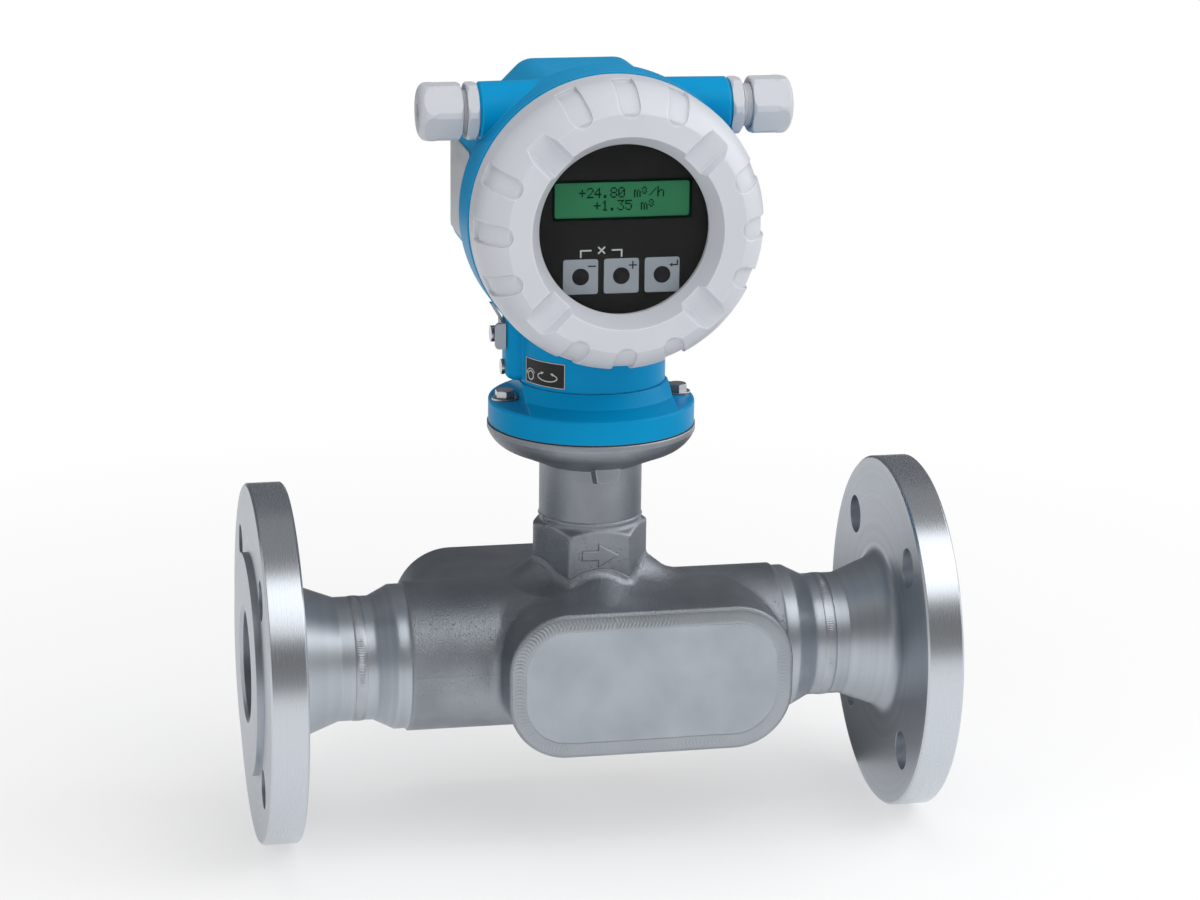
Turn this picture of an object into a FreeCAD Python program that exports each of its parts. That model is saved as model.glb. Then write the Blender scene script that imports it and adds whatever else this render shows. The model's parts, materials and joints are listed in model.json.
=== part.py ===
import FreeCAD
import Part
import math
import os

V = FreeCAD.Vector
X, Y, Z = V(1, 0, 0), V(0, 1, 0), V(0, 0, 1)

# Flow line: X is the flow, the origin is the centre of the inlet sealing face
face_to_face = 319.0
neck_od = 57.0
pipe_wall = 3.0
bore_d = neck_od - 2 * pipe_wall
mouth_chamfer = 1.5
flange_od = 165.0
flange_thickness = 20.0
bolt_edge = 20.0
bolt_circle = flange_od - 2 * bolt_edge
bolt_hole_d = 18.0
bolt_count = 4
raised_face_margin = 2.5
raised_face_od = bolt_circle - bolt_hole_d - 2 * raised_face_margin
raised_face_height = 3.0
hub_step = 8.0
hub_base_od = neck_od + 2 * hub_step
hub_root_fillet = 5.0
hub_root_sag = 1.3
hub_length = 21.0
hub_end = flange_thickness + hub_length
weld_neck_length = 9.0
weld_from_face = hub_end + weld_neck_length
rim_chamfer = 1.0

# Cast sensor body
stub_length = 7.0
cone_length = 9.5
cone_step = 4.8
band_od = neck_od + 2 * cone_step
band_length = 5.5
cast_rise = 1.2
cast_od = band_od + 2 * cast_rise
cast_step = 0.8
pocket_shift = 18.3
pocket_width = 130.5
pocket_inset = 0.7
pocket_height = cast_od - 2 * pocket_inset
pocket_flat = 13.6
pocket_corner = (pocket_height - pocket_flat) / 2.0
pocket_depth = 21.8
pocket_face = cast_od / 2.0 + pocket_depth
pocket_edge_round = 1.2
pocket_rim = 7.5
pocket_ledge = 2.0
weld_land = 1.4
weld_drop = 1.0
cover_plate_thickness = 5.0
pocket_floor_wall = 7.5
pocket_floor_od = bore_d + 2 * pocket_floor_wall
pocket_round = 5.0
seam_samples = 7

# Hexagonal collar, with the skirt and webs under it
collar_flats = 48.0
collar_side_round = 8.0
collar_edge_round = 2.5
collar_height = 28.2
collar_top = pocket_height / 2.0 + collar_height
collar_chamfer_angle = 30.0
shoulder_od = collar_flats
shoulder_height = 4.0
shoulder_chamfer = 1.0
shoulder_hollow = 0.9
skirt_height = 4.6
skirt_top = pocket_height / 2.0 + skirt_height
skirt_width = 15.5
skirt_reach = collar_flats / 2.0 + skirt_width
skirt_hollow = 0.6
skirt_margin = 2.0
skirt_depth = 10.0
skirt_run = 12.0
web_height = 9.2
web_top = pocket_height / 2.0 + web_height
side_web_start = collar_flats / 2.0 + 4.0
side_web_d = 0.75 * collar_flats
front_web_drop = 1.2
front_web_setback = 8.3
front_web_d = 0.7 * collar_flats
collar_wall = 6.0
lead_bore_d = collar_flats - 2 * collar_wall
lead_bore_drop = 2.0
lead_bore_floor = web_top - lead_bore_drop
lead_channel_d = 8.0
lead_channel_margin = 0.5
lead_channel_reach = cast_od / 2.0 - lead_channel_margin
lead_channel_depth = 18.0

# Sound paths
path_angle = 60.0
path_height = 12.0
transducer_d = 10.0
port_clearance = 0.1
tip_setback = 1.5
tip_from_axis = bore_d / 2.0 + tip_setback
stem_length = 19.0
boss_from_axis = tip_from_axis + stem_length
transducer_head_d = 16.0
transducer_head_length = 3.0
transducer_tail_d = 7.0
transducer_tail_length = 4.0
clamp_ring_step = 1.0
clamp_ring_d = transducer_head_d + 2 * clamp_ring_step
clamp_ring_length = 2.5
boss_step = 1.0
boss_d = clamp_ring_d + 2 * boss_step
transducer_gasket = 1.0

# Base ring that clamps the transmitter
gasket_thickness = 0.6
base_ring_od = 94.0
base_ring_height = 19.9
base_rim_height = 11.0
base_rim_round = 1.5
base_slope_height = 3.0
base_shelf = 12.5
base_shoulder_d = base_ring_od - 2 * base_shelf
base_slope_foot = 4.0
base_slope_inner_d = base_shoulder_d + 2 * base_slope_foot
base_wall = 5.0
spigot_d = base_shoulder_d - 2 * base_wall
bayonet_lip = 1.5
bayonet_d = base_shoulder_d + 2 * bayonet_lip
bayonet_thickness = 4.0
base_bolt_edge = 7.0
base_bolt_spacing = base_ring_od - 2 * base_bolt_edge
base_bolt_d = 5.0
base_bolt_reach = 7.5
base_bolt_flats = 8.0
base_bolt_head = 3.4
base_bolt_chamfer = 0.7
base_washer_d = 12.0
base_washer_thickness = 1.0
bolt_flat_height = 10.9
bolt_flat_margin = 0.2
bolt_clearance = 0.2
running_gap = 0.1
loose_gap = 0.3

# Neck adapter
neck_bottom = collar_top + shoulder_height
neck_step = 0.5
neck_tube_od = shoulder_od - 2 * neck_step
neck_tube_length = 24.5
dish_bottom = neck_bottom + neck_tube_length
dish_rise = 15.5
dish_rim_bottom = dish_bottom + dish_rise
dish_rim = 2.5
dish_knee_rise = 6.5
dish_knee_inset = 9.5
dish_top = dish_rim_bottom + dish_rim
dish_lip = 0.5
dish_od = base_ring_od + 2 * dish_lip
dish_bulge = 1.5
dish_shelf = 2.0
dish_well_d = bayonet_d - 2 * dish_shelf
dish_well_depth = 9.0
tab_top_width = 13.4
tab_bottom_width = 9.4
tab_rise = 6.5
tab_drop = 4.5
tab_reach = neck_tube_od / 2.0 + 4.0
tab_draft = 1.5
tab_turn = 5.3
feedthrough_thickness = 8.0
feedthrough_ledge = 2.0
feedthrough_pin_d = 2.0
feedthrough_pin_circle = lead_bore_d / 2.0
feedthrough_pin_count = 8
feedthrough_pin_length = 16.0

# Heights from the dish up
ring_bottom = dish_top + gasket_thickness
base_ring_top = ring_bottom + base_ring_height
bolt_flat_z = ring_bottom + bolt_flat_height
bayonet_bottom = ring_bottom + loose_gap
bayonet_top = bayonet_bottom + bayonet_thickness

# Transmitter housing, its axis is parallel to Y
housing_rise = 82.0
housing_z = base_ring_top + housing_rise
pedestal_step = 1.0
pedestal_od = base_shoulder_d - 2 * pedestal_step
pedestal_wall = 16.5
pedestal_bore_d = pedestal_od - 2 * pedestal_wall
pedestal_round = 5.0
front_ring_od = 128.0
front_ring_face = 41.0
front_ring_back = 18.0
front_ring_slope = 9.0
rear_step = 8.0
rear_flats = front_ring_od - 2 * rear_step
rear_corner_round = 11.0
rear_face = 54.0
rear_edge = 2.5
front_thread_step = 7.0
front_thread_d = front_ring_od - 2 * front_thread_step
front_thread_length = 19.0
thread_relief = 1.0
front_wall = 5.0
front_bore_d = front_thread_d - 2 * front_wall
partition_depth = 9.0
partition_front = front_ring_face - partition_depth
partition_thickness = 3.0
rear_thread_step = 9.0
rear_thread_d = rear_flats - 2 * rear_thread_step
rear_thread_length = 13.0
rear_wall = 4.0
rear_bore_d = rear_thread_d - 2 * rear_wall
earth_boss_step = 6.5
earth_boss_reach = pedestal_od / 2.0 + earth_boss_step
earth_boss_width = 19.0
earth_boss_y = 3.0
earth_boss_height = 39.0
earth_boss_top = base_ring_top + earth_boss_height
earth_boss_round = 6.0
earth_boss_foot = 3.5
earth_boss_lift = 0.4

# Seals
swivel_seal_section = 2.5
swivel_seal_rise = 11.9
swivel_seal_z = ring_bottom + swivel_seal_rise
cover_seal_section = 2.4
cover_seal_setback = 2.6
seal_gap = 0.05

# Front cover, sizes along the axis are measured in front of the neck axis
cover_setback = 0.5
cover_od = front_ring_od - 2 * cover_setback
cover_depth = 37.0
cover_front = front_ring_face + cover_depth
cover_shoulder_depth = 22.0
cover_rim_end = cover_front - cover_shoulder_depth
cover_shoulder_width = 11.5
cover_flat_d = cover_od - 2 * cover_shoulder_width
cover_shoulder_bulge = 3.4
cover_rim_round = 1.5
cover_face_width = 26.2
window_d = cover_od - 2 * cover_face_width
window_depth = 10.8
window_lip = cover_front - window_depth
window_land = 1.0
bevel_width = 4.8
bevel_d = window_d + 2 * bevel_width
glass_lap = 3.7
glass_d = window_d + 2 * glass_lap
glass_thickness = 2.5
gasket_height = 0.4
retainer_step = 2.0
retainer_d = glass_d + 2 * retainer_step
retainer_height = 1.3
retainer_margin = 0.7
retainer_bore_d = window_d + 2 * retainer_margin
window_boss_wall = 3.0
window_boss_d = retainer_d + 2 * window_boss_wall
glass_back = window_lip - gasket_height - glass_thickness
boss_back = glass_back - retainer_height
cover_roof_wall = 5.5
cover_roof = cover_front - cover_roof_wall
cover_roof_width = 1.0
cover_hollow_step = 2.5
cover_hollow_d = front_thread_d - 2 * cover_hollow_step
scallop_width = 9.4
scallop_length = 13.4
scallop_tip_d = cover_od - 2 * scallop_length
scallop_depth = 1.7
scallop_step = 22.5
band_top_width = 14.0
band_floor_width = 9.6
band_depth = 4.2

# Rear cover
rear_cover_wall = 5.0
rear_cover_od = rear_thread_d + 2 * rear_cover_wall
rear_cover_depth = 20.0
rear_cover_roof = 4.0
rear_cover_round = 5.0
rear_grip_count = 12
rear_grip_d = 12.0
rear_grip_depth = 1.6

# Display and electronics
fascia_margin = 4.0
fascia_d = front_bore_d - 2 * fascia_margin
fascia_gap = 0.4
fascia_front = boss_back - fascia_gap
fascia_thickness = 1.6
fascia_wall = 2.0
lcd_view_width = 60.0
lcd_view_height = 16.2
lcd_rise = 12.2
lcd_border = 3.0
lcd_recess = 0.4
key_d = 7.4
key_spacing = 18.0
key_drop = 21.2
key_clearance = 0.15
display_depth = 7.0
display_board_front = fascia_front - display_depth
display_margin = 1.0
display_board_d = fascia_d - 2 * display_margin
board_thickness = 1.6
board_spacing = 7.8
signal_board_front = display_board_front - board_spacing
power_board_front = signal_board_front - board_spacing
carrier_margin = 3.0
carrier_plate_d = front_bore_d - 2 * carrier_margin
carrier_plate_thickness = 1.5
post_edge = 4.5
post_spread = (display_board_d / 2.0 - post_edge) * math.cos(math.radians(45))
board_side_margin = 6.0
board_width = 2 * (post_spread + board_side_margin)
board_top_margin = 5.0
board_height = 2 * (post_spread + board_top_margin)
post_d = 8.0
post_step_d = 1.4
post_end = 1.2
terminal_side_margin = 11.0
terminal_width = rear_bore_d - 2 * terminal_side_margin
terminal_height = 16.0
terminal_depth = 22.0
terminal_rise = -6.0
terminal_count = 8
terminal_screw_d = 4.0
terminal_screw_length = 8.0
terminal_screw_rise = 3.2
terminal_slot_width = 5.0
terminal_slot_height = 4.5

# Cable glands
gland_y = 18.0
gland_rise = 44.5
gland_z = housing_z + gland_rise
gland_hole_d = 20.0
gland_boss_proud = 0.5
gland_boss_end = rear_flats / 2.0 + gland_boss_proud
gland_boss_taper = 0.6
gland_boss_round = 1.5
gland_thread_d = 19.3
gland_thread_height = 0.5
gland_sleeve_d = gland_thread_d - 2 * gland_thread_height
gland_thread_gap = 0.15
gland_nut_bore_d = gland_thread_d + 2 * gland_thread_gap
gland_wall = 2.2
gland_flats = gland_nut_bore_d + 2 * gland_wall
gland_boss_margin = 1.3
gland_boss_d = gland_flats + 2 * gland_boss_margin
gland_corner_ease = 0.7
gland_flange = 5.0
gland_stub_length = 10.0
gland_sleeve_length = 13.0
gland_bore_d = 14.0
gland_nut_length = 18.5
gland_nut_hex_length = 11.0
gland_nut_taper = 3.5
gland_nut_tip_d = gland_flats - 2 * gland_nut_taper
gland_cable_d = 8.2
gland_nut_wall = 3.0
gland_nut_dome = 2.2
gland_nut_mouth = 1.0
gland_edge_round = 1.0
gland_thread_depth = 12.5
gland_seal_proud = 1.5
left_nut_gap = 2.3
right_nut_gap = 4.5

# Earth terminal and the small screw under it
earth_screw_rise = 21.0
earth_screw_z = base_ring_top + earth_screw_rise
earth_screw_d = 5.0
earth_head_d = 7.4
earth_head_height = 3.2
earth_screw_reach = 9.0
earth_washer_d = 9.0
earth_washer_thickness = 1.4
earth_clamp_width = 12.6
earth_clamp_height = 12.0
earth_clamp_thickness = 1.6
earth_clamp_bend = 5.0
earth_clamp_round = 2.0
earth_blade_height = 17.0
earth_blade_width = 3.0
lock_screw_rise = 5.5
lock_screw_z = base_ring_top + lock_screw_rise
lock_screw_d = 4.0
lock_head_d = 7.0
lock_head_height = 1.4
lock_screw_reach = 7.0

neck_x = face_to_face / 2.0

# How far a cutting tool runs past a face, and how close two places count as one
past = 1.0
cut_margin = 5.0
touching = 1e-3

# Height of a quarter round over its chord, for a radius of one
quarter_rise = 1.0 - math.sqrt(0.5)


def at(x, y, z):
    return V(x, y, z)


def outline(points):
    # A point is a straight run to it, a pair is an arc through its first point to its second
    edges = []
    here = points[0]
    for move in points[1:] + [points[0]]:
        if isinstance(move, tuple):
            edges.append(Part.Arc(here, move[0], move[1]).toShape())
            here = move[1]
        elif here.distanceToPoint(move) > touching:
            edges.append(Part.LineSegment(here, move).toShape())
            here = move
    return Part.Wire(edges)


def turned(origin, axis, radial, points):
    # Revolve a profile of (along, radius) pairs; an arc is a pair of such pairs
    def place(pair):
        return origin + axis * pair[0] + radial * pair[1]

    path = []
    for item in points:
        if isinstance(item[0], tuple):
            path.append((place(item[0]), place(item[1])))
        else:
            path.append(place(item))
    return Part.Face(outline(path)).revolve(origin, axis, 360)


def flow_turned(points):
    return turned(V(), X, Z, points)


def neck_turned(points):
    return turned(at(neck_x, 0, 0), Z, X, points)


def housing_turned(points):
    # Along is measured towards the viewer, which is -Y
    return turned(at(neck_x, 0, housing_z), -Y, X, points)


def rod(start, end, diameter):
    run = end - start
    return Part.makeCylinder(diameter / 2.0, run.Length, start, run)


def box(low, high):
    size = high - low
    return Part.makeBox(size.x, size.y, size.z, low)


def prism(points, run):
    return Part.Face(outline(points)).extrude(run)


def hexagon(flats, centre, axis, towards):
    # Six corners in the plane across axis, with one flat facing along towards
    side = axis.cross(towards)
    corner = flats / math.sqrt(3)
    angles = [math.radians(30 + 60 * i) for i in range(6)]
    return [centre + towards * (corner * math.cos(a)) + side * (corner * math.sin(a)) for a in angles]


def rounded_frame(centre_x, width, height, corner, y):
    # Rounded rectangle in a plane across Y
    half_w, half_h = width / 2.0, height / 2.0
    diagonal = corner * math.sqrt(0.5)
    points = []
    for sx, sz in ((1, -1), (1, 1), (-1, 1), (-1, -1)):
        hub = at(centre_x + sx * (half_w - corner), y, sz * (half_h - corner))
        first = hub + (V(0, 0, sz * corner) if sx * sz < 0 else V(sx * corner, 0, 0))
        last = hub + (V(sx * corner, 0, 0) if sx * sz < 0 else V(0, 0, sz * corner))
        points.append(first)
        points.append((hub + V(sx * diagonal, 0, sz * diagonal), last))
    return points


def bulged(start, end, rise):
    # Middle of an arc that stands off its chord by rise, to the left of the run
    run_a, run_r = end[0] - start[0], end[1] - start[1]
    length = math.hypot(run_a, run_r)
    return ((start[0] + end[0]) / 2.0 - run_r / length * rise,
            (start[1] + end[1]) / 2.0 + run_a / length * rise)


def ring_pattern(shape, centre, axis, count):
    return [shape.rotated(centre, axis, 360.0 * i / count) for i in range(count)]


def half_turn(shape):
    # The body repeats itself when it is turned half round about the neck
    return shape.rotated(at(neck_x, 0, 0), Z, 180)


def both_sides(shape):
    return [shape, half_turn(shape)]


def o_ring(centre, axis, inner_d, section):
    radius = inner_d / 2.0 + section / 2.0
    return Part.makeTorus(radius, section / 2.0, centre, axis)


# Flanges
def flange():
    back = flange_thickness
    hub_r = hub_base_od / 2.0
    neck_r = neck_od / 2.0
    bore_r = bore_d / 2.0
    slope = (hub_r - neck_r) / (hub_end - back)
    root_x = back + hub_root_fillet
    root_r = hub_r - slope * hub_root_fillet
    reach = hub_r + hub_root_fillet
    root_arc = bulged((back, reach), (root_x, root_r), -hub_root_sag)
    rim_r = flange_od / 2.0
    raised_r = raised_face_od / 2.0
    body = flow_turned([
        (0, bore_r + mouth_chamfer),
        (0, raised_r),
        (raised_face_height, raised_r),
        (raised_face_height, rim_r - rim_chamfer),
        (raised_face_height + rim_chamfer, rim_r),
        (back - rim_chamfer, rim_r),
        (back, rim_r - rim_chamfer),
        (back, reach),
        (root_arc, (root_x, root_r)),
        (hub_end, neck_r),
        (weld_from_face, neck_r),
        (weld_from_face, bore_r),
        (mouth_chamfer, bore_r),
    ])
    angle = math.pi / bolt_count
    spot = at(0, math.cos(angle), math.sin(angle)) * (bolt_circle / 2.0)
    hole = rod(spot - X * past, spot + X * (back + past), bolt_hole_d)
    return body.cut(ring_pattern(hole, V(), X, bolt_count))


# Sound paths
path_dir = V(math.cos(math.radians(path_angle)), -math.sin(math.radians(path_angle)), 0)


def on_path(distance, side):
    return at(neck_x, 0, side * path_height) + path_dir * distance


def path_rod(start, end, diameter, side):
    return rod(on_path(start, side), on_path(end, side), diameter)


def head_seat():
    return boss_from_axis + transducer_gasket


def transducer(side):
    head_end = head_seat() + transducer_head_length
    tail_end = head_end + transducer_tail_length
    stem = path_rod(tip_from_axis, head_seat(), transducer_d, side)
    head = path_rod(head_seat(), head_end, transducer_head_d, side)
    return stem.fuse([head, path_rod(head_end, tail_end, transducer_tail_d, side)]).removeSplitter()


def transducer_washer(side):
    ring = path_rod(boss_from_axis, head_seat(), transducer_head_d, side)
    return ring.cut(path_rod(boss_from_axis - past, head_seat() + past,
                             transducer_d + 2 * port_clearance, side))


def clamp_ring(side):
    start = head_seat() + transducer_head_length
    ring = path_rod(start, start + clamp_ring_length, clamp_ring_d, side)
    return ring.cut(path_rod(start - past, start + clamp_ring_length + past,
                             transducer_tail_d + 2 * loose_gap, side))


# Cast body
plate_front = weld_drop - pocket_face


def pocket_wire(inset, y):
    return outline(rounded_frame(neck_x + pocket_shift, pocket_width - 2 * inset,
                                 pocket_height - 2 * inset, pocket_corner - inset, y))


def pocket_block(inset, start_y, end_y):
    return Part.Face(pocket_wire(inset, start_y)).extrude(V(0, end_y - start_y, 0))


def pocket_form():
    block = pocket_block(0, -pocket_face, 0)
    front = [e for e in block.Edges if e.BoundBox.YMax < touching - pocket_face]
    return block.makeFillet(pocket_edge_round, front)


def weld_slope():
    # The rim falls from its outer land to the plate, where the weld lies
    run = (pocket_rim - weld_land) / weld_drop
    over = (weld_land - pocket_edge_round / 2.0) / run
    outer = pocket_wire(weld_land - over * run, -pocket_face - over)
    inner = pocket_wire(pocket_rim, plate_front)
    return Part.makeLoft([outer, inner], True, True)


def pocket_hollow():
    plate_back = plate_front + cover_plate_thickness
    hollow = pocket_block(pocket_rim + pocket_ledge, plate_back, 0)
    mouth = pocket_block(pocket_rim, plate_front, plate_back)
    core = rod(at(0, 0, 0), at(face_to_face, 0, 0), pocket_floor_od)
    bosses = [path_rod(0, boss_from_axis, boss_d, side) for side in (-1, 1)]
    channel = rod(at(neck_x, -lead_channel_reach, lead_channel_depth),
                  at(neck_x, -lead_bore_d / 4.0, lead_bore_floor + lead_channel_d), lead_channel_d)
    ports = [path_rod(bore_d / 4.0, boss_from_axis + past, transducer_d + 2 * port_clearance, side)
             for side in (-1, 1)]
    return hollow.cut([core] + bosses).fuse([weld_slope(), mouth, channel] + ports)


def is_upright(edge):
    return abs(edge.tangentAt(edge.FirstParameter).z) > math.sqrt(0.5)


def collar():
    bottom = web_top - collar_flats / 4.0
    hexa = prism(hexagon(collar_flats, at(neck_x, 0, bottom), Z, -Y), Z * (collar_top - bottom))
    sides, fronts = [], []
    for edge in hexa.Edges:
        if is_upright(edge):
            far = abs(edge.CenterOfMass.x - neck_x) > collar_flats / 2.0
            (sides if far else fronts).append(edge)
    hexa = hexa.makeFillet(collar_side_round, sides)
    fronts = [e for e in hexa.Edges if is_upright(e)
              and abs(e.CenterOfMass.x - neck_x) < collar_flats / 3.0]
    hexa = hexa.makeFillet(collar_edge_round, fronts)
    shoulder_r = shoulder_od / 2.0
    drop = math.tan(math.radians(collar_chamfer_angle)) * collar_flats
    turned_top = neck_turned([
        (bottom - past, 0),
        (bottom - past, shoulder_r + collar_flats),
        (collar_top - drop, shoulder_r + collar_flats),
        (collar_top, shoulder_r),
        (collar_top, 0),
    ])
    toe, brow = (collar_top, shoulder_r), (neck_bottom - shoulder_chamfer, shoulder_r)
    shoulder = neck_turned([
        (bottom, 0),
        (bottom, shoulder_r),
        toe,
        (bulged(toe, brow, -shoulder_hollow), brow),
        (neck_bottom, neck_tube_od / 2.0),
        (neck_bottom, 0),
    ])
    return hexa.common(turned_top).fuse(shoulder)


def skirt():
    base_z = pocket_height / 2.0
    low = base_z - skirt_depth
    foot = (base_z, skirt_reach)
    head = (skirt_top, collar_flats / 2.0 + skirt_margin)
    return neck_turned([
        (low, 0),
        (low, skirt_reach + skirt_run),
        foot,
        (bulged(foot, head, -skirt_hollow), head),
        (skirt_top, 0),
    ])


def web(towards, start, high, end, diameter):
    # Round-backed web that falls from the collar to the casting
    fall = (high - pocket_height / 2.0) / (end - start)
    sink = diameter / 2.0 * math.hypot(1, fall)
    near, far = start / 2.0, end
    return rod(at(neck_x, 0, high + fall * (start - near) - sink) + towards * near,
               at(neck_x, 0, high + fall * (start - far) - sink) + towards * far, diameter)


def webs():
    side = web(X, side_web_start, web_top, skirt_reach, side_web_d)
    front = web(-Y, collar_flats / 2.0, web_top - front_web_drop, pocket_face - front_web_setback, front_web_d)
    return both_sides(side) + both_sides(front)


def on_pocket_seam(edge):
    # Seams of tube and pockets lie on the cast diameter, to one side of the flow axis
    off_axis = abs(edge.BoundBox.YMin + edge.BoundBox.YMax) > past
    places = edge.discretize(seam_samples)
    return off_axis and all(abs(math.hypot(p.y, p.z) - cast_od / 2.0) < touching for p in places)


def sensor_body():
    start, end = weld_from_face, face_to_face - weld_from_face
    cone = start + stub_length
    band = cone + cone_length
    cast = band + band_length
    stub_r, band_r, cast_r = neck_od / 2.0, band_od / 2.0, cast_od / 2.0
    half = [(start, stub_r), (cone, stub_r), (band, band_r), (cast, band_r), (cast + cast_step, cast_r)]
    mirrored = [(face_to_face - x, r) for x, r in reversed(half)]
    tube = flow_turned([(start, 0)] + half + mirrored + [(end, 0)])
    body = tube.fuse(both_sides(pocket_form())).removeSplitter()
    body = body.makeFillet(pocket_round, [e for e in body.Edges if on_pocket_seam(e)])
    body = body.fuse([skirt(), collar()] + webs())
    body = body.cut(rod(at(start - past, 0, 0), at(end + past, 0, 0), bore_d))
    body = body.cut(rod(at(neck_x, 0, lead_bore_floor), at(neck_x, 0, neck_bottom + past), lead_bore_d))
    return body.cut(both_sides(pocket_hollow())).removeSplitter()


def pocket_cover():
    return pocket_block(pocket_rim, plate_front, plate_front + cover_plate_thickness)


# Neck adapter
def tab_wire(draft, reach):
    low, high = dish_bottom - tab_drop - draft, dish_bottom + tab_rise
    bottom, top = tab_bottom_width / 2.0 + draft, tab_top_width / 2.0 + draft
    return outline([at(neck_x + x, -reach, z) for x, z in ((-bottom, low), (bottom, low), (top, high), (-top, high))])


def neck_adapter():
    tube_r, rim_r = neck_tube_od / 2.0, dish_od / 2.0
    bore_r = lead_bore_d / 2.0
    well_r = dish_well_d / 2.0
    well = dish_top - dish_well_depth
    knee, rim = (dish_bottom + dish_knee_rise, rim_r - dish_knee_inset), (dish_rim_bottom, rim_r)
    seat = feedthrough_seat()
    adapter = neck_turned([
        (neck_bottom, bore_r),
        (neck_bottom, tube_r),
        (dish_bottom, tube_r),
        knee,
        (bulged(knee, rim, dish_bulge), rim),
        (dish_top, rim_r),
        (dish_top, well_r),
        (well, well_r),
        (well, bore_r + feedthrough_ledge),
        (seat, bore_r + feedthrough_ledge),
        (seat, bore_r),
    ])
    tab = Part.makeLoft([tab_wire(0, tab_reach), tab_wire(tab_draft, (tube_r + bore_r) / 2.0)], True, True)
    tab = tab.rotated(at(neck_x, 0, 0), Z, tab_turn)
    holes = [base_bolt_hole(side, base_bolt_d + 2 * seal_gap) for side in (-1, 1)]
    return adapter.fuse(tab).cut(holes).removeSplitter()


def feedthrough_seat():
    return dish_top - dish_well_depth - feedthrough_thickness


def neck_feedthrough():
    seat = feedthrough_seat()
    wide = lead_bore_d + 2 * feedthrough_ledge - 2 * seal_gap
    disc = rod(at(neck_x, 0, seat), at(neck_x, 0, seat + feedthrough_thickness), wide)
    middle = seat + feedthrough_thickness / 2.0
    pin_x = neck_x + feedthrough_pin_circle / 2.0
    pin = rod(at(pin_x, 0, middle - feedthrough_pin_length / 2.0),
              at(pin_x, 0, middle + feedthrough_pin_length / 2.0), feedthrough_pin_d)
    return disc.fuse(ring_pattern(pin, at(neck_x, 0, 0), Z, feedthrough_pin_count)).removeSplitter()


# Base ring and its screws
def base_bolt_hole(side, diameter):
    x = neck_x + side * base_bolt_spacing / 2.0
    return rod(at(x, 0, dish_top - base_bolt_reach), at(x, 0, base_ring_top + past), diameter)


def neck_gasket():
    start, end = at(neck_x, 0, dish_top), at(neck_x, 0, ring_bottom)
    ring = rod(start, end, base_ring_od).cut(rod(start - Z * past, end + Z * past, bayonet_d + 2 * loose_gap))
    return ring.cut([base_bolt_hole(side, base_bolt_d + 2 * bolt_clearance) for side in (-1, 1)])


def base_ring():
    rim_r = base_ring_od / 2.0
    rim_top = ring_bottom + base_rim_height
    slope_top = rim_top + base_slope_height
    well = bayonet_top + running_gap
    corner = (rim_top, rim_r - base_rim_round)
    wall_top = (rim_top - base_rim_round, rim_r)
    edge = bulged(wall_top, corner, base_rim_round * quarter_rise)
    ring = neck_turned([
        (ring_bottom, bayonet_d / 2.0 + loose_gap),
        (ring_bottom, rim_r),
        wall_top,
        (edge, corner),
        (slope_top, base_slope_inner_d / 2.0),
        (base_ring_top, base_shoulder_d / 2.0),
        (base_ring_top, spigot_d / 2.0 + running_gap),
        (well, spigot_d / 2.0 + running_gap),
        (well, bayonet_d / 2.0 + loose_gap),
    ])
    # A flat on each side lets the bolts down beside the shoulder
    inner = pedestal_od / 2.0 + bolt_flat_margin
    flat = box(at(neck_x + inner, -rim_r, bolt_flat_z), at(neck_x + rim_r + past, rim_r, base_ring_top + past))
    holes = [base_bolt_hole(side, base_bolt_d + 2 * bolt_clearance) for side in (-1, 1)]
    return ring.cut(both_sides(flat) + holes)


def base_bolt(side):
    x = neck_x + side * base_bolt_spacing / 2.0
    seat = bolt_flat_z + base_washer_thickness
    top = seat + base_bolt_head
    head = prism(hexagon(base_bolt_flats, at(x, 0, seat), Z, X), Z * base_bolt_head)
    flat_r = base_bolt_flats / 2.0
    eased = turned(at(x, 0, 0), Z, X, [
        (seat, 0),
        (seat, base_bolt_flats),
        (top - base_bolt_chamfer, flat_r + 2 * base_bolt_chamfer),
        (top, flat_r),
        (top, 0),
    ])
    head = head.common(eased)
    return head.fuse(rod(at(x, 0, dish_top - base_bolt_reach), at(x, 0, seat), base_bolt_d)).removeSplitter()


def base_washer(side):
    x = neck_x + side * base_bolt_spacing / 2.0
    low, high = at(x, 0, bolt_flat_z), at(x, 0, bolt_flat_z + base_washer_thickness)
    hole = rod(low - Z * past, high + Z * past, base_bolt_d + 2 * bolt_clearance)
    return rod(low, high, base_washer_d).cut(hole)


# Transmitter housing
def rear_octagon():
    inradius = rear_flats / 2.0
    half_side = inradius * math.tan(math.pi / 8)
    ring = [(inradius, -half_side), (inradius, half_side), (half_side, inradius), (-half_side, inradius),
            (-inradius, half_side), (-inradius, -half_side), (-half_side, -inradius), (half_side, -inradius)]
    points = [at(neck_x + x, -front_ring_back, housing_z + z) for x, z in ring]
    solid = prism(points, V(0, front_ring_back + rear_face, 0))
    long_edges = [e for e in solid.Edges if e.BoundBox.YLength > rear_face]
    solid = solid.makeFillet(rear_corner_round, long_edges)
    rim = [e for e in solid.Edges if e.BoundBox.YMin > rear_face - touching]
    return solid.makeChamfer(rear_edge, rim)


def gland_boss(side):
    low = at(neck_x, -gland_y, gland_z)
    thick, thin = gland_boss_d / 2.0, gland_boss_d / 2.0 - gland_boss_taper
    return turned(low, X * side, Z, [
        (0, 0),
        (0, thick),
        (gland_boss_end - gland_boss_round, thin),
        (gland_boss_end, thin - gland_boss_round),
        (gland_boss_end, 0),
    ])


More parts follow.
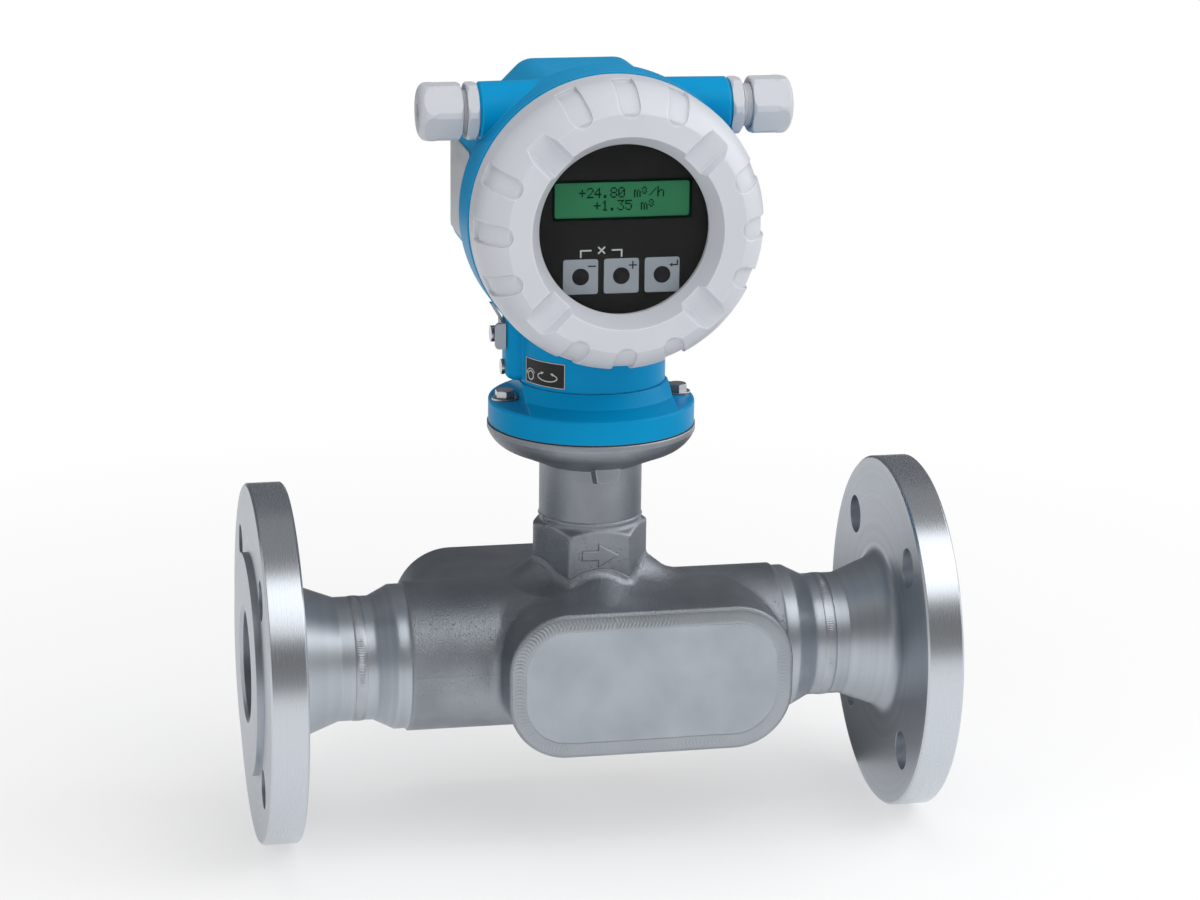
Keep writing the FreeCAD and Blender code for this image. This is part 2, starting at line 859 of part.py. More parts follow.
def earth_boss():
    low = base_ring_top + running_gap + earth_boss_lift
    left = neck_x - earth_boss_reach
    back, front = earth_boss_y + earth_boss_width / 2.0, earth_boss_y - earth_boss_width / 2.0
    solid = box(at(left, front, low), at(neck_x, back, earth_boss_top))
    rounds = [e for e in solid.Edges if e.BoundBox.ZLength > past and e.BoundBox.XMax < left + touching]
    solid = solid.makeFillet(earth_boss_round, rounds)
    boxes = [(e, e.BoundBox) for e in solid.Edges]
    foot = [e for e, b in boxes if b.ZMax < low + touching and b.XMax < neck_x - touching]
    return solid.makeFillet(earth_boss_foot, foot)


def swivel_groove():
    half = swivel_seal_section / 2.0 + 2 * seal_gap
    floor_d = spigot_d - 2 * swivel_seal_section + 2 * running_gap
    wide = rod(at(neck_x, 0, swivel_seal_z - half), at(neck_x, 0, swivel_seal_z + half), spigot_d + 2 * past)
    return wide.cut(rod(at(neck_x, 0, swivel_seal_z - half - past),
                        at(neck_x, 0, swivel_seal_z + half + past), floor_d))


def swivel_seal():
    floor_d = spigot_d - 2 * swivel_seal_section + 2 * running_gap
    return o_ring(at(neck_x, 0, swivel_seal_z), Z, floor_d + 2 * seal_gap, swivel_seal_section - 2 * seal_gap)


def thread_groove(thread_d, face, direction):
    # Seal groove at the foot of a cover thread
    middle = face + direction * cover_seal_setback
    half = cover_seal_section / 2.0 + 2 * seal_gap
    floor_r = thread_d / 2.0 - cover_seal_section + loose_gap
    return housing_turned([
        (middle - half, floor_r),
        (middle - half, thread_d),
        (middle + half, thread_d),
        (middle + half, floor_r),
    ])


def thread_seal(thread_d, face, direction):
    floor_d = thread_d - 2 * cover_seal_section + 2 * loose_gap
    centre = at(neck_x, -(face + direction * cover_seal_setback), housing_z)
    return o_ring(centre, Y, floor_d + 2 * seal_gap, cover_seal_section - 2 * seal_gap)


def on_pedestal_seam(edge):
    # Where the pedestal meets the octagon, behind the front ring
    places = edge.discretize(seam_samples)
    off = [abs(math.hypot(p.x - neck_x, p.y) - pedestal_od / 2.0) for p in places]
    behind_ring = min(p.y for p in places) > seal_gap - front_ring_back
    return max(off) < seal_gap and behind_ring and min(p.z for p in places) > earth_screw_z - cut_margin


def housing():
    seam = base_ring_top + running_gap
    pedestal = neck_turned([
        (bayonet_bottom, 0),
        (bayonet_bottom, bayonet_d / 2.0),
        (bayonet_top, bayonet_d / 2.0),
        (bayonet_top, spigot_d / 2.0),
        (seam, spigot_d / 2.0),
        (seam, pedestal_od / 2.0),
        (housing_z, pedestal_od / 2.0),
        (housing_z, 0),
    ])
    ring_r, octagon_r = front_ring_od / 2.0, rear_flats / 2.0
    thread_r = front_thread_d / 2.0
    front = housing_turned([
        (front_ring_back - front_ring_slope, 0),
        (front_ring_back - front_ring_slope, octagon_r),
        (front_ring_back, ring_r),
        (front_ring_face, ring_r),
        (front_ring_face, thread_r),
        (front_ring_face + front_thread_length, thread_r),
        (front_ring_face + front_thread_length, 0),
    ])
    rear_end = -(rear_face + rear_thread_length)
    rear_r = rear_thread_d / 2.0
    rear_spigot = housing_turned([(0, 0), (0, rear_r), (rear_end, rear_r), (rear_end, 0)])
    bosses = [earth_boss()] + [gland_boss(side) for side in (-1, 1)]
    core = pedestal.fuse([front, rear_octagon(), rear_spigot]).removeSplitter()
    core = core.makeFillet(pedestal_round, [e for e in core.Edges if on_pedestal_seam(e)])
    shell = core.fuse(bosses)
    partition_back = partition_front - partition_thickness
    front_room = housing_turned([
        (partition_front, 0),
        (partition_front, front_bore_d / 2.0),
        (front_ring_face + front_thread_length + past, front_bore_d / 2.0),
        (front_ring_face + front_thread_length + past, 0),
    ])
    rear_room = housing_turned([
        (partition_back, 0),
        (partition_back, rear_bore_d / 2.0),
        (rear_end - past, rear_bore_d / 2.0),
        (rear_end - past, 0),
    ])
    lead_way = rod(at(neck_x, 0, bayonet_bottom - past), at(neck_x, 0, housing_z), pedestal_bore_d)
    lead_way = lead_way.cut(box(at(0, -housing_z, 0), at(face_to_face, -partition_back, housing_z * 2)))
    gland_way = rod(at(neck_x - gland_boss_end - past, -gland_y, gland_z),
                    at(neck_x + gland_boss_end + past, -gland_y, gland_z), gland_hole_d)
    drills = [earth_hole(earth_screw_z, earth_screw_d, earth_screw_reach),
              earth_hole(lock_screw_z, lock_screw_d, lock_screw_reach)]
    grooves = [swivel_groove(), thread_groove(front_thread_d, front_ring_face, 1),
               thread_groove(rear_thread_d, -rear_face, -1)]
    return shell.cut([front_room, rear_room, lead_way, gland_way] + drills + grooves).removeSplitter()


# Front cover
def cover_profile(inset):
    rim_r = cover_od / 2.0 - inset
    front = cover_front - inset
    start, end = (cover_rim_end, rim_r), (front, cover_flat_d / 2.0)
    return [start, (bulged(start, end, cover_shoulder_bulge), end)]


def cover_skirt():
    return front_ring_face + loose_gap


def front_cover():
    rim_r = cover_od / 2.0
    bore_r = front_thread_d / 2.0 + loose_gap
    thread_end = front_ring_face + front_thread_length + thread_relief
    hollow_r, boss_r = cover_hollow_d / 2.0, window_boss_d / 2.0
    back = cover_skirt()
    body = housing_turned([
        (back, bore_r),
        (back, rim_r - cover_rim_round),
        (back + cover_rim_round, rim_r),
    ] + cover_profile(0) + [
        (cover_front, bevel_d / 2.0),
        (window_lip + window_land, window_d / 2.0),
        (window_lip, window_d / 2.0),
        (window_lip, glass_d / 2.0 + seal_gap),
        (glass_back, glass_d / 2.0 + seal_gap),
        (glass_back, retainer_d / 2.0 + seal_gap),
        (boss_back, retainer_d / 2.0 + seal_gap),
        (boss_back, boss_r),
        (cover_roof, boss_r),
        (cover_roof, boss_r + cover_roof_width),
        (thread_end, hollow_r),
        (thread_end, bore_r),
    ])
    return body.cut(cover_scallops() + cover_bands())


def cover_scallops():
    core = housing_turned([(0, 0), (0, cover_od / 2.0 - scallop_depth)] + cover_profile(scallop_depth)
                          + [(cover_front - scallop_depth, 0)])
    centre = at(neck_x, 0, housing_z)
    radius = scallop_width / 2.0
    tip = scallop_tip_d / 2.0
    far = cover_od
    y = -cover_front - past
    points = [
        centre + V(far, y, -radius),
        centre + V(far, y, radius),
        centre + V(tip + radius, y, radius),
        (centre + V(tip, y, 0), centre + V(tip + radius, y, -radius)),
    ]
    finger = prism(points, V(0, cover_front - cover_rim_end + cover_rim_round + past, 0)).cut(core)
    cuts = []
    for quarter in range(4):
        for step in (-1, 0, 1):
            cuts.append(finger.rotated(centre, Y, 90 * quarter + scallop_step * step))
    return cuts


def cover_bands():
    centre = at(neck_x, 0, housing_z)
    top, floor = -cover_front - past, -cover_front + band_depth
    slope = (band_top_width - band_floor_width) / 2.0 / band_depth
    half_top = band_top_width / 2.0 + slope * past
    half_floor = band_floor_width / 2.0
    near = window_d / 4.0
    points = [
        centre + V(near, top, -half_top),
        centre + V(near, top, half_top),
        centre + V(near, floor, half_floor),
        centre + V(near, floor, -half_floor),
    ]
    band = prism(points, X * cover_od)
    return [band.rotated(centre, Y, 45 + 90 * i) for i in range(4)]


def disc_between(front, back, outer_d, inner_d=0):
    start, end = at(neck_x, -front, housing_z), at(neck_x, -back, housing_z)
    disc = rod(start, end, outer_d)
    if inner_d:
        disc = disc.cut(rod(start - Y * past, end + Y * past, inner_d))
    return disc


def window_gasket():
    return disc_between(window_lip, window_lip - gasket_height, glass_d, window_d + 2 * loose_gap)


def window_glass():
    return disc_between(window_lip - gasket_height, glass_back, glass_d)


def window_retainer():
    return disc_between(glass_back, glass_back - retainer_height, retainer_d, retainer_bore_d)


# Rear cover
def rear_cover():
    back = -(rear_face + loose_gap)
    end = back - rear_cover_depth
    bore_r = rear_thread_d / 2.0 + loose_gap
    rim_r = rear_cover_od / 2.0
    room_end = end + rear_cover_roof
    start, finish = (end + rear_cover_round, rim_r), (end, rim_r - rear_cover_round)
    body = housing_turned([
        (back, bore_r),
        (back, rim_r),
        start,
        (bulged(start, finish, -rear_cover_round * quarter_rise), finish),
        (end, 0),
        (room_end, 0),
        (room_end, bore_r),
    ])
    grip_x = rim_r + rear_grip_d / 2.0 - rear_grip_depth
    grip = rod(at(neck_x + grip_x, -back, housing_z), at(neck_x + grip_x, past - end, housing_z), rear_grip_d)
    return body.cut(ring_pattern(grip, at(neck_x, 0, housing_z), Y, rear_grip_count))


# Display and electronics
def board_posts(diameter, front):
    posts = []
    for sx in (-1, 1):
        for sz in (-1, 1):
            foot = at(neck_x + sx * post_spread, -partition_front, housing_z + sz * post_spread)
            posts.append(rod(foot, at(foot.x, -front, foot.z), diameter))
    return posts


def board_seats():
    return [front - board_thickness for front in (power_board_front, signal_board_front, display_board_front)]


def electronics_carrier():
    plate = disc_between(partition_front + carrier_plate_thickness, partition_front, carrier_plate_d)
    stages = []
    diameter = post_d
    for front in board_seats() + [display_board_front + post_end]:
        stages += board_posts(diameter, front)
        diameter -= post_step_d
    return plate.fuse(stages).removeSplitter()


def drilled_board(shape, step):
    return shape.cut(board_posts(post_d - post_step_d * step + 2 * key_clearance, cover_front))


def square_board(front, step):
    low = at(neck_x - board_width / 2.0, -front, housing_z - board_height / 2.0)
    return drilled_board(Part.makeBox(board_width, board_thickness, board_height, low), step)


def display_board():
    back = display_board_front - board_thickness
    return drilled_board(disc_between(display_board_front, back, display_board_d), 3)


def lcd_frame(front, back, border):
    half_w, half_h = lcd_view_width / 2.0 + border, lcd_view_height / 2.0 + border
    centre_z = housing_z + lcd_rise
    return box(at(neck_x - half_w, -front, centre_z - half_h), at(neck_x + half_w, -back, centre_z + half_h))


def key_places():
    return [neck_x + key_spacing * i for i in (-1, 0, 1)]


def key_rods(front, back, diameter):
    z = housing_z - key_drop
    return [rod(at(x, -front, z), at(x, -back, z), diameter) for x in key_places()]


def fascia():
    plate_back = fascia_front - fascia_thickness
    plate = disc_between(fascia_front, plate_back, fascia_d)
    wall = disc_between(plate_back, display_board_front, display_board_d, display_board_d - 2 * fascia_wall)
    cuts = [lcd_frame(fascia_front + past, plate_back - past, 0)]
    cuts += key_rods(fascia_front + past, plate_back - past, key_d + 2 * key_clearance)
    return plate.fuse(wall).cut(cuts).removeSplitter()


def lcd_panel():
    plate_back = fascia_front - fascia_thickness
    behind = lcd_frame(plate_back, display_board_front, lcd_border)
    screen = lcd_frame(fascia_front - lcd_recess, plate_back, -key_clearance)
    return behind.fuse(screen).removeSplitter()


def terminal_block():
    back = partition_front - partition_thickness
    low = at(neck_x - terminal_width / 2.0, -back, housing_z + terminal_rise - terminal_height / 2.0)
    block = Part.makeBox(terminal_width, terminal_depth, terminal_height, low)
    for x in terminal_places():
        middle = housing_z + terminal_rise
        block = block.cut(terminal_rod(x, 2 * seal_gap))
        slot_low = at(x - terminal_slot_width / 2.0, terminal_depth - back - terminal_screw_length,
                      middle - terminal_height / 2.0 - past)
        slot_high = at(x + terminal_slot_width / 2.0, terminal_depth - back - terminal_screw_length / 2.0,
                       middle - terminal_height / 2.0 + terminal_slot_height)
        block = block.cut(box(slot_low, slot_high))
    return block


def terminal_places():
    pitch = terminal_width / terminal_count
    return [neck_x + pitch * (i - (terminal_count - 1) / 2.0) for i in range(terminal_count)]


def terminal_rod(x, clearance):
    top = terminal_depth - (partition_front - partition_thickness)
    z = housing_z + terminal_rise + terminal_screw_rise
    return rod(at(x, top - terminal_screw_length, z), at(x, top, z), terminal_screw_d + clearance)


# Cable glands
def gland_turned(side, points):
    return turned(at(neck_x, -gland_y, gland_z), X * side, Z, points)


def gland_hex(side, start, end):
    centre = at(neck_x + side * start, -gland_y, gland_z)
    return prism(hexagon(gland_flats, centre, X, Z), X * (side * (end - start)))


def gland_flange_end():
    return gland_boss_end + gland_flange


def gland_body(side):
    face, flange_end = gland_boss_end, gland_flange_end()
    corner = gland_flats / math.sqrt(3) - gland_corner_ease
    eased = gland_turned(side, [
        (face, 0),
        (face, corner - gland_edge_round),
        (face + gland_edge_round, corner),
        (flange_end - gland_edge_round, corner),
        (flange_end, corner - gland_edge_round),
        (flange_end, 0),
    ])
    stub_r = gland_hole_d / 2.0 - seal_gap
    sleeve_end = flange_end + gland_sleeve_length
    threads = gland_turned(side, [
        (face - gland_stub_length, 0),
        (face - gland_stub_length, stub_r),
        (face, stub_r),
        (flange_end, gland_sleeve_d / 2.0),
        (sleeve_end, gland_sleeve_d / 2.0),
        (sleeve_end, 0),
    ])
    way = gland_turned(side, [
        (face - gland_stub_length - past, 0),
        (face - gland_stub_length - past, gland_bore_d / 2.0),
        (sleeve_end + past, gland_bore_d / 2.0),
        (sleeve_end + past, 0),
    ])
    return gland_hex(side, face, flange_end).common(eased).fuse(threads).cut(way).removeSplitter()


def gland_seal(side):
    end = gland_flange_end() + gland_sleeve_length
    start = end - gland_sleeve_length + gland_seal_proud
    outer_r = gland_bore_d / 2.0 - running_gap
    return gland_turned(side, [
        (start, gland_cable_d / 2.0),
        (start, outer_r),
        (end, outer_r),
        (end + gland_seal_proud, outer_r - gland_seal_proud),
        (end + gland_seal_proud, gland_cable_d / 2.0),
    ])


def gland_nut(side, gap):
    start = gland_flange_end() + gap
    end = start + gland_nut_length
    hex_end = start + gland_nut_hex_length
    corner = gland_flats / math.sqrt(3) - gland_corner_ease
    tip_r = gland_nut_tip_d / 2.0
    shoulder, tip = (hex_end, corner), (end, tip_r)
    eased = gland_turned(side, [
        (start, 0),
        (start, corner - gland_edge_round),
        (start + gland_edge_round, corner),
        shoulder,
        (bulged(shoulder, tip, gland_nut_dome), tip),
        (end, 0),
    ])
    bore_r = gland_nut_bore_d / 2.0
    throat = start + gland_thread_depth
    hole_start = end - gland_nut_wall
    way = gland_turned(side, [
        (start - past, 0),
        (start - past, bore_r + gland_nut_mouth),
        (start, bore_r + gland_nut_mouth),
        (start + gland_nut_mouth, bore_r),
        (throat, bore_r),
        (hole_start, gland_cable_d / 2.0),
        (end + past, gland_cable_d / 2.0),
        (end + past, 0),
    ])
    return gland_hex(side, start, end).common(eased).cut(way)


# Earth terminal
def earth_axis(z, start, end):
    face = neck_x - earth_boss_reach
    return at(face - start, earth_boss_y, z), at(face - end, earth_boss_y, z)


def earth_rod(z, start, end, diameter):
    low, high = earth_axis(z, start, end)
    return rod(low, high, diameter)


def earth_hole(z, diameter, reach):
    return earth_rod(z, -reach - 2 * loose_gap, cut_margin, diameter + 2 * seal_gap)


def ground_clamp():
    face = neck_x - earth_boss_reach
    half = earth_clamp_width / 2.0
    low_z, high_z = earth_screw_z - earth_clamp_height / 2.0, earth_screw_z + earth_clamp_height / 2.0
    thick = earth_clamp_thickness
    plate = box(at(face - thick, earth_boss_y - half, low_z), at(face, earth_boss_y + half, high_z))
    lip = box(at(face - earth_clamp_bend, earth_boss_y - half, low_z),
              at(face, earth_boss_y - half + thick, high_z))
    edge_x = face - earth_clamp_bend + touching
    outer = [e for e in lip.Edges if e.BoundBox.XMax < edge_x and e.BoundBox.YLength > touching]
    lip = lip.makeFillet(earth_clamp_round, outer)
    blade = prism([
        at(face, 0, high_z),
        at(face - thick, 0, high_z),
        at(face - thick - earth_clamp_bend, 0, high_z + earth_blade_height / 2.0),
        at(face - earth_clamp_bend, 0, high_z + earth_blade_height / 2.0),
    ], Y * earth_blade_width).translated(V(0, earth_boss_y - earth_blade_width / 2.0, 0))
    hole = earth_hole(earth_screw_z, earth_screw_d, earth_screw_reach)
    return plate.fuse([lip, blade]).cut(hole).removeSplitter()


def ground_washer():
    start = earth_clamp_thickness
    ring = earth_rod(earth_screw_z, start, start + earth_washer_thickness, earth_washer_d)
    return ring.cut(earth_hole(earth_screw_z, earth_screw_d, earth_screw_reach))


def ground_screw():
    seat = earth_clamp_thickness + earth_washer_thickness
    shank = earth_rod(earth_screw_z, -earth_screw_reach, seat, earth_screw_d)
    return shank.fuse(earth_rod(earth_screw_z, seat, seat + earth_head_height, earth_head_d)).removeSplitter()


def lock_screw():
    shank = earth_rod(lock_screw_z, -lock_screw_reach, 0, lock_screw_d)
    return shank.fuse(earth_rod(lock_screw_z, 0, lock_head_height, lock_head_d)).removeSplitter()


inlet = flange()
cover_plate = pocket_cover()
sides = (-1, 1)
levels = {"lower": -1, "upper": 1}

nodes = {
    "sensor_body": sensor_body(),
    "inlet_flange": inlet,
    "outlet_flange": inlet.rotated(at(neck_x, 0, 0), Z, 180),
    "front_pocket_cover": cover_plate,
    "rear_pocket_cover": half_turn(cover_plate),
    "neck_adapter": neck_adapter(),
    "neck_feedthrough": neck_feedthrough(),
    "neck_gasket": neck_gasket(),
    "base_ring": base_ring(),
    "base_bolts": Part.Compound([base_bolt(s) for s in sides]),
    "base_washers": Part.Compound([base_washer(s) for s in sides]),
    "housing": housing(),
    "swivel_seal": swivel_seal(),
    "front_cover": front_cover(),
    "front_cover_seal": thread_seal(front_thread_d, front_ring_face, 1),
    "window_gasket": window_gasket(),
    "window_glass": window_glass(),
    "window_retainer": window_retainer(),
    "rear_cover": rear_cover(),
    "rear_cover_seal": thread_seal(rear_thread_d, -rear_face, -1),
    "electronics_carrier": electronics_carrier(),
    "power_board": square_board(power_board_front, 1),
    "signal_board": square_board(signal_board_front, 2),
    "display_board": display_board(),
    "fascia": fascia(),
    "lcd_panel": lcd_panel(),
    "key_sensors": Part.Compound(key_rods(fascia_front, display_board_front, key_d)),
    "terminal_block": terminal_block(),
    "terminal_screws": Part.Compound([terminal_rod(x, 0) for x in terminal_places()]),
    "ground_clamp": ground_clamp(),
    "ground_washer": ground_washer(),
    "ground_screw": ground_screw(),
    "lock_screw": lock_screw(),
    "left_gland_body": gland_body(-1),
    "left_gland_seal": gland_seal(-1),
    "left_gland_nut": gland_nut(-1, left_nut_gap),
    "right_gland_body": gland_body(1),
    "right_gland_seal": gland_seal(1),
    "right_gland_nut": gland_nut(1, right_nut_gap),
    "transducer_gaskets": Part.Compound(
        [turn for s in sides for turn in both_sides(transducer_washer(s))]),
    "transducer_clamps": Part.Compound(
        [turn for s in sides for turn in both_sides(clamp_ring(s))]),
}
for level, side in levels.items():
    shape = transducer(side)
    nodes["downstream_" + level + "_transducer"] = shape
    nodes["upstream_" + level + "_transducer"] = half_turn(shape)

os.makedirs("parts", exist_ok=True)
for name, shape in nodes.items():
    shape.exportStep("parts/" + name + ".step")
print(len(nodes), "pieces")
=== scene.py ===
import json
import math
import random
from functools import partial

import bmesh
import bpy
import numpy
from mathutils import Matrix, Vector
from mathutils.bvhtree import BVHTree


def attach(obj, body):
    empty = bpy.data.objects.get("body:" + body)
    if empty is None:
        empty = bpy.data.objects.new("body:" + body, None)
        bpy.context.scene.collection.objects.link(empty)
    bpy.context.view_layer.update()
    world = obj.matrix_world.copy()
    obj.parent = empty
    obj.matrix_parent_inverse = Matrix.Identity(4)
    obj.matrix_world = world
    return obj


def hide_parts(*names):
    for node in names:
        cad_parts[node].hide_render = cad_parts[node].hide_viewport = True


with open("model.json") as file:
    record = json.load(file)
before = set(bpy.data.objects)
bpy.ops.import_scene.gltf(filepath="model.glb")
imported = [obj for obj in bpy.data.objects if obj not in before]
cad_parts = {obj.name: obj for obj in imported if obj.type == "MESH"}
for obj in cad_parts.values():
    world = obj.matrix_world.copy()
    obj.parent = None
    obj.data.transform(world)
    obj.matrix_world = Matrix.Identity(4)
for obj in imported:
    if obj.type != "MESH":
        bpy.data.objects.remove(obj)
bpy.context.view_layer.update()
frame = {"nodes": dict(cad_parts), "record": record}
nodes = frame["nodes"]
mm = 0.001
print("frame loaded,", len(nodes), "nodes")

scene = bpy.context.scene
scene.view_settings.view_transform = "Standard"

# camera at the photograph's viewing angle
viewpoint = {
    "place": (-0.137294, -1.465711, 0.508086), "azimuth": -11.612, "elevation": 15.466, "roll": 0.674,
    "lens": 101.72, "sensor": 36, "farthest": 40,
}


def makeCamera(values):
    data = bpy.data.cameras.new("photoCamera")
    data.lens = values["lens"]
    data.sensor_width = values["sensor"]
    data.clip_end = values["farthest"]
    rig = bpy.data.objects.new("photoCamera", data)
    turn = Matrix.Rotation(math.radians(values["azimuth"]), 4, "Z")
    tilt = Matrix.Rotation(math.radians(90 - values["elevation"]), 4, "X")
    roll = Matrix.Rotation(math.radians(values["roll"]), 4, "Z")
    rig.matrix_world = Matrix.Translation(values["place"]) @ turn @ tilt @ roll
    scene.collection.objects.link(rig)
    scene.camera = rig


makeCamera(viewpoint)
print("camera placed")


# short helpers for node trees
def addNode(tree, kind, values=None, **settings):
    node = tree.nodes.new(kind)
    for key, value in settings.items():
        setattr(node, key, value)
    for key, value in (values or {}).items():
        if isinstance(value, bpy.types.NodeSocket):
            tree.links.new(value, node.inputs[key])
        else:
            node.inputs[key].default_value = value
    return node


def outOf(tree, kind, values=None, **settings):
    return addNode(tree, kind, values, **settings).outputs[0]


def treeOf(*terms):
    # the tree of the first socket among the terms
    return next(term.id_data for term in terms if isinstance(term, bpy.types.NodeSocket))


def mathOf(operation, first, *others):
    # one operation over all terms in turn
    tree = treeOf(first, *others)
    for other in others or (0.0,):
        first = outOf(tree, "ShaderNodeMath", {0: first, 1: other}, operation=operation)
    return first


plus, minus, times = (partial(mathOf, operation) for operation in ("ADD", "SUBTRACT", "MULTIPLY"))


def vectorOf(operation, values):
    node = addNode(treeOf(*values.values()), "ShaderNodeVectorMath", values, operation=operation)
    return node.outputs["Value" if operation in ("LENGTH", "DISTANCE", "DOT_PRODUCT") else "Vector"]


def axesOf(vector):
    return addNode(vector.id_data, "ShaderNodeSeparateXYZ", {0: vector}).outputs


def noiseOf(tree, scale, detail, place=None):
    values = {"Scale": scale, "Detail": detail}
    if place is not None:
        values["Vector"] = place
    return outOf(tree, "ShaderNodeTexNoise", values)


def spread(value, fromSpan, toSpan=(0.0, 1.0)):
    return outOf(value.id_data, "ShaderNodeMapRange", dict(enumerate((value, *fromSpan, *toSpan))))


def mixValues(share, first, second):
    return outOf(share.id_data, "ShaderNodeMix", {0: share, 2: first, 3: second})


def mixColours(share, *colours):
    first, second = (c if isinstance(c, bpy.types.NodeSocket) else (*c, 1) for c in colours)
    return addNode(share.id_data, "ShaderNodeMix", {0: share, 6: first, 7: second}, data_type="RGBA").outputs[2]


def shadeBetween(value, span, dark, light):
    return mixColours(spread(value, span), dark, light)


def rayIs(tree, *kinds):
    # one where the ray is of any of these kinds
    ray = addNode(tree, "ShaderNodeLightPath").outputs
    flags = [ray[kind] for kind in kinds]
    return mathOf("MAXIMUM", *flags) if len(flags) > 1 else flags[0]


def emptyTree(owner):
    owner.use_nodes = True
    owner.node_tree.nodes.clear()
    return owner.node_tree


def newGroup(name, kind, inputs, outputs):
    # a node group whose inputs are given as label, kind and start value
    tree = bpy.data.node_groups.new(name, kind)
    for label, socketKind, *value in inputs:
        socket = tree.interface.new_socket(label, in_out="INPUT", socket_type="NodeSocket" + socketKind)
        if value:
            socket.default_value = value[0]
    for label, socketKind in outputs:
        tree.interface.new_socket(label, in_out="OUTPUT", socket_type="NodeSocket" + socketKind)
    return tree, addNode(tree, "NodeGroupInput").outputs


# light: white surroundings near the horizon behind, dimmer above and in front
studio = {
    "horizon": 1.0, "ceiling": 0.30, "heightSpan": (0.20, 0.75),
    "front": 0.22, "back": 1.0, "depthSpan": (-0.55, 0.15), "ambient": 0.40,
    "lamps": [
        # name, place, aim, size, power, shows in metal
        ("keyLamp", (0.75, -1.05, 1.68), (0.16, 0.0, 0.10), (1.8, 1.45), 14.5, True),
        ("sideLamp", (1.70, -0.10, 0.95), (0.16, 0.0, 0.10), (1.5, 1.3), 12.0, True),
        ("leftLamp", (-1.25, -1.15, 0.95), (0.16, 0.0, 0.12), (0.8, 0.8), 6.0, False),
        ("frontLamp", (-0.10, -1.60, 0.45), (0.16, 0.0, 0.16), (0.8, 0.6), 2.5, False),
        ("topLamp", (0.16, 0.10, 1.70), (0.16, 0.0, 0.10), (1.0, 0.8), 5.0, False),
    ],
    "flags": [
        # name, place, aim, size
        ("backFlag", (0.16, 0.95, 0.55), (0.16, 0.0, 0.20), (3.2, 1.3)),
        # a dark card on the floor behind the object: painted shadow where the object's shade lies, seen only in
        # metal
        ("floorFlag", (0.29, 0.20, -0.0815), (0.29, 0.20, 1.0), (0.34, 0.32)),
    ],
    "felt": {"scale": 60.0, "detail": 2.0, "span": (0.3, 0.7), "dark": (0.16, 0.165, 0.175),
             "light": (0.20, 0.205, 0.215)},
    "floor": {"level": -82.5, "side": 12.0, "colour": (0.93, 0.93, 0.94, 1), "middle": (0.16, 0.0, 0.0),
              "fadeSpan": (0.24, 0.70), "fade": (0.5, 1.0)},
}
white = (1, 1, 1, 1)


def makeWorld(values):
    world = bpy.data.worlds.new("studioRoom")
    scene.world = world
    tree = emptyTree(world)
    axes = axesOf(addNode(tree, "ShaderNodeTexCoord").outputs["Generated"])
    height = spread(axes["Z"], values["heightSpan"], (values["horizon"], values["ceiling"]))
    depth = spread(axes["Y"], values["depthSpan"], (values["front"], values["back"]))
    mirrored = mixValues(rayIs(tree, "Is Glossy Ray"), values["ambient"], times(height, depth))
    seen = rayIs(tree, "Is Camera Ray", "Is Transmission Ray")
    strength = mixValues(seen, mirrored, 1.0)
    back = outOf(tree, "ShaderNodeBackground", {"Color": white, "Strength": strength})
    addNode(tree, "ShaderNodeOutputWorld", {0: back})


def aimed(place, aim):
    facing = Vector(aim) - Vector(place)
    return Matrix.Translation(place) @ facing.to_track_quat("-Z", "Y").to_matrix().to_4x4()


def makeLamp(name, place, aim, size, power, mirrored):
    data = bpy.data.lights.new(name, "AREA")
    data.shape = "RECTANGLE"
    data.size, data.size_y = size
    data.energy = power
    lamp = bpy.data.objects.new(name, data)
    lamp.matrix_world = aimed(place, aim)
    lamp.visible_glossy = mirrored
    scene.collection.objects.link(lamp)


def stageSheet(name, turn, size):
    # a flat sheet beside the object, with an empty material
    across, up = size[0] / 2, size[1] / 2
    corners = [turn @ Vector(c) for c in ((-across, -up, 0), (across, -up, 0), (across, up, 0), (-across, up, 0))]
    mesh = bpy.data.meshes.new(name)
    mesh.from_pydata(corners, [], [(0, 1, 2, 3)])
    sheet = bpy.data.objects.new(name, mesh)
    scene.collection.objects.link(sheet)
    material = bpy.data.materials.new(name)
    mesh.materials.append(material)
    return sheet, emptyTree(material)


def makeFlag(name, place, aim, size, felt):
    # a dark card that only shows as a reflection in metal; the card on the floor is painted shadow
    card, tree = stageSheet(name, aimed(place, aim), size)
    card.visible_camera = card.visible_diffuse = card.visible_shadow = card.visible_transmission = False
    pile = noiseOf(tree, felt["scale"], felt["detail"])
    shade = shadeBetween(pile, felt["span"], felt["dark"], felt["light"])
    addNode(tree, "ShaderNodeOutputMaterial", {0: outOf(tree, "ShaderNodeBsdfDiffuse", {"Color": shade})})


def makeFloor(values):
    # pale floor that keeps the object's shadow and fades to white away from it
    level = Matrix.Translation((0, 0, values["level"] * mm))
    tree = stageSheet("paleFloor", level, (values["side"], values["side"]))[1]
    place = addNode(tree, "ShaderNodeTexCoord").outputs["Object"]
    away = vectorOf("DISTANCE", {0: place, 1: values["middle"]})
    fade = spread(away, values["fadeSpan"], values["fade"])
    matt = outOf(tree, "ShaderNodeBsdfDiffuse", {"Color": values["colour"]})
    blank = outOf(tree, "ShaderNodeEmission", {"Color": white, "Strength": 1.0})
    seen = rayIs(tree, "Is Camera Ray", "Is Transmission Ray", "Is Glossy Ray")
    mixed = outOf(tree, "ShaderNodeMixShader", {0: times(fade, seen), 1: matt, 2: blank})
    addNode(tree, "ShaderNodeOutputMaterial", {0: mixed})


makeWorld(studio)
for lampValues in studio["lamps"]:
    makeLamp(*lampValues)
for flagValues in studio["flags"]:
    makeFlag(*flagValues, studio["felt"])
makeFloor(studio["floor"])
print("light and floor ready")


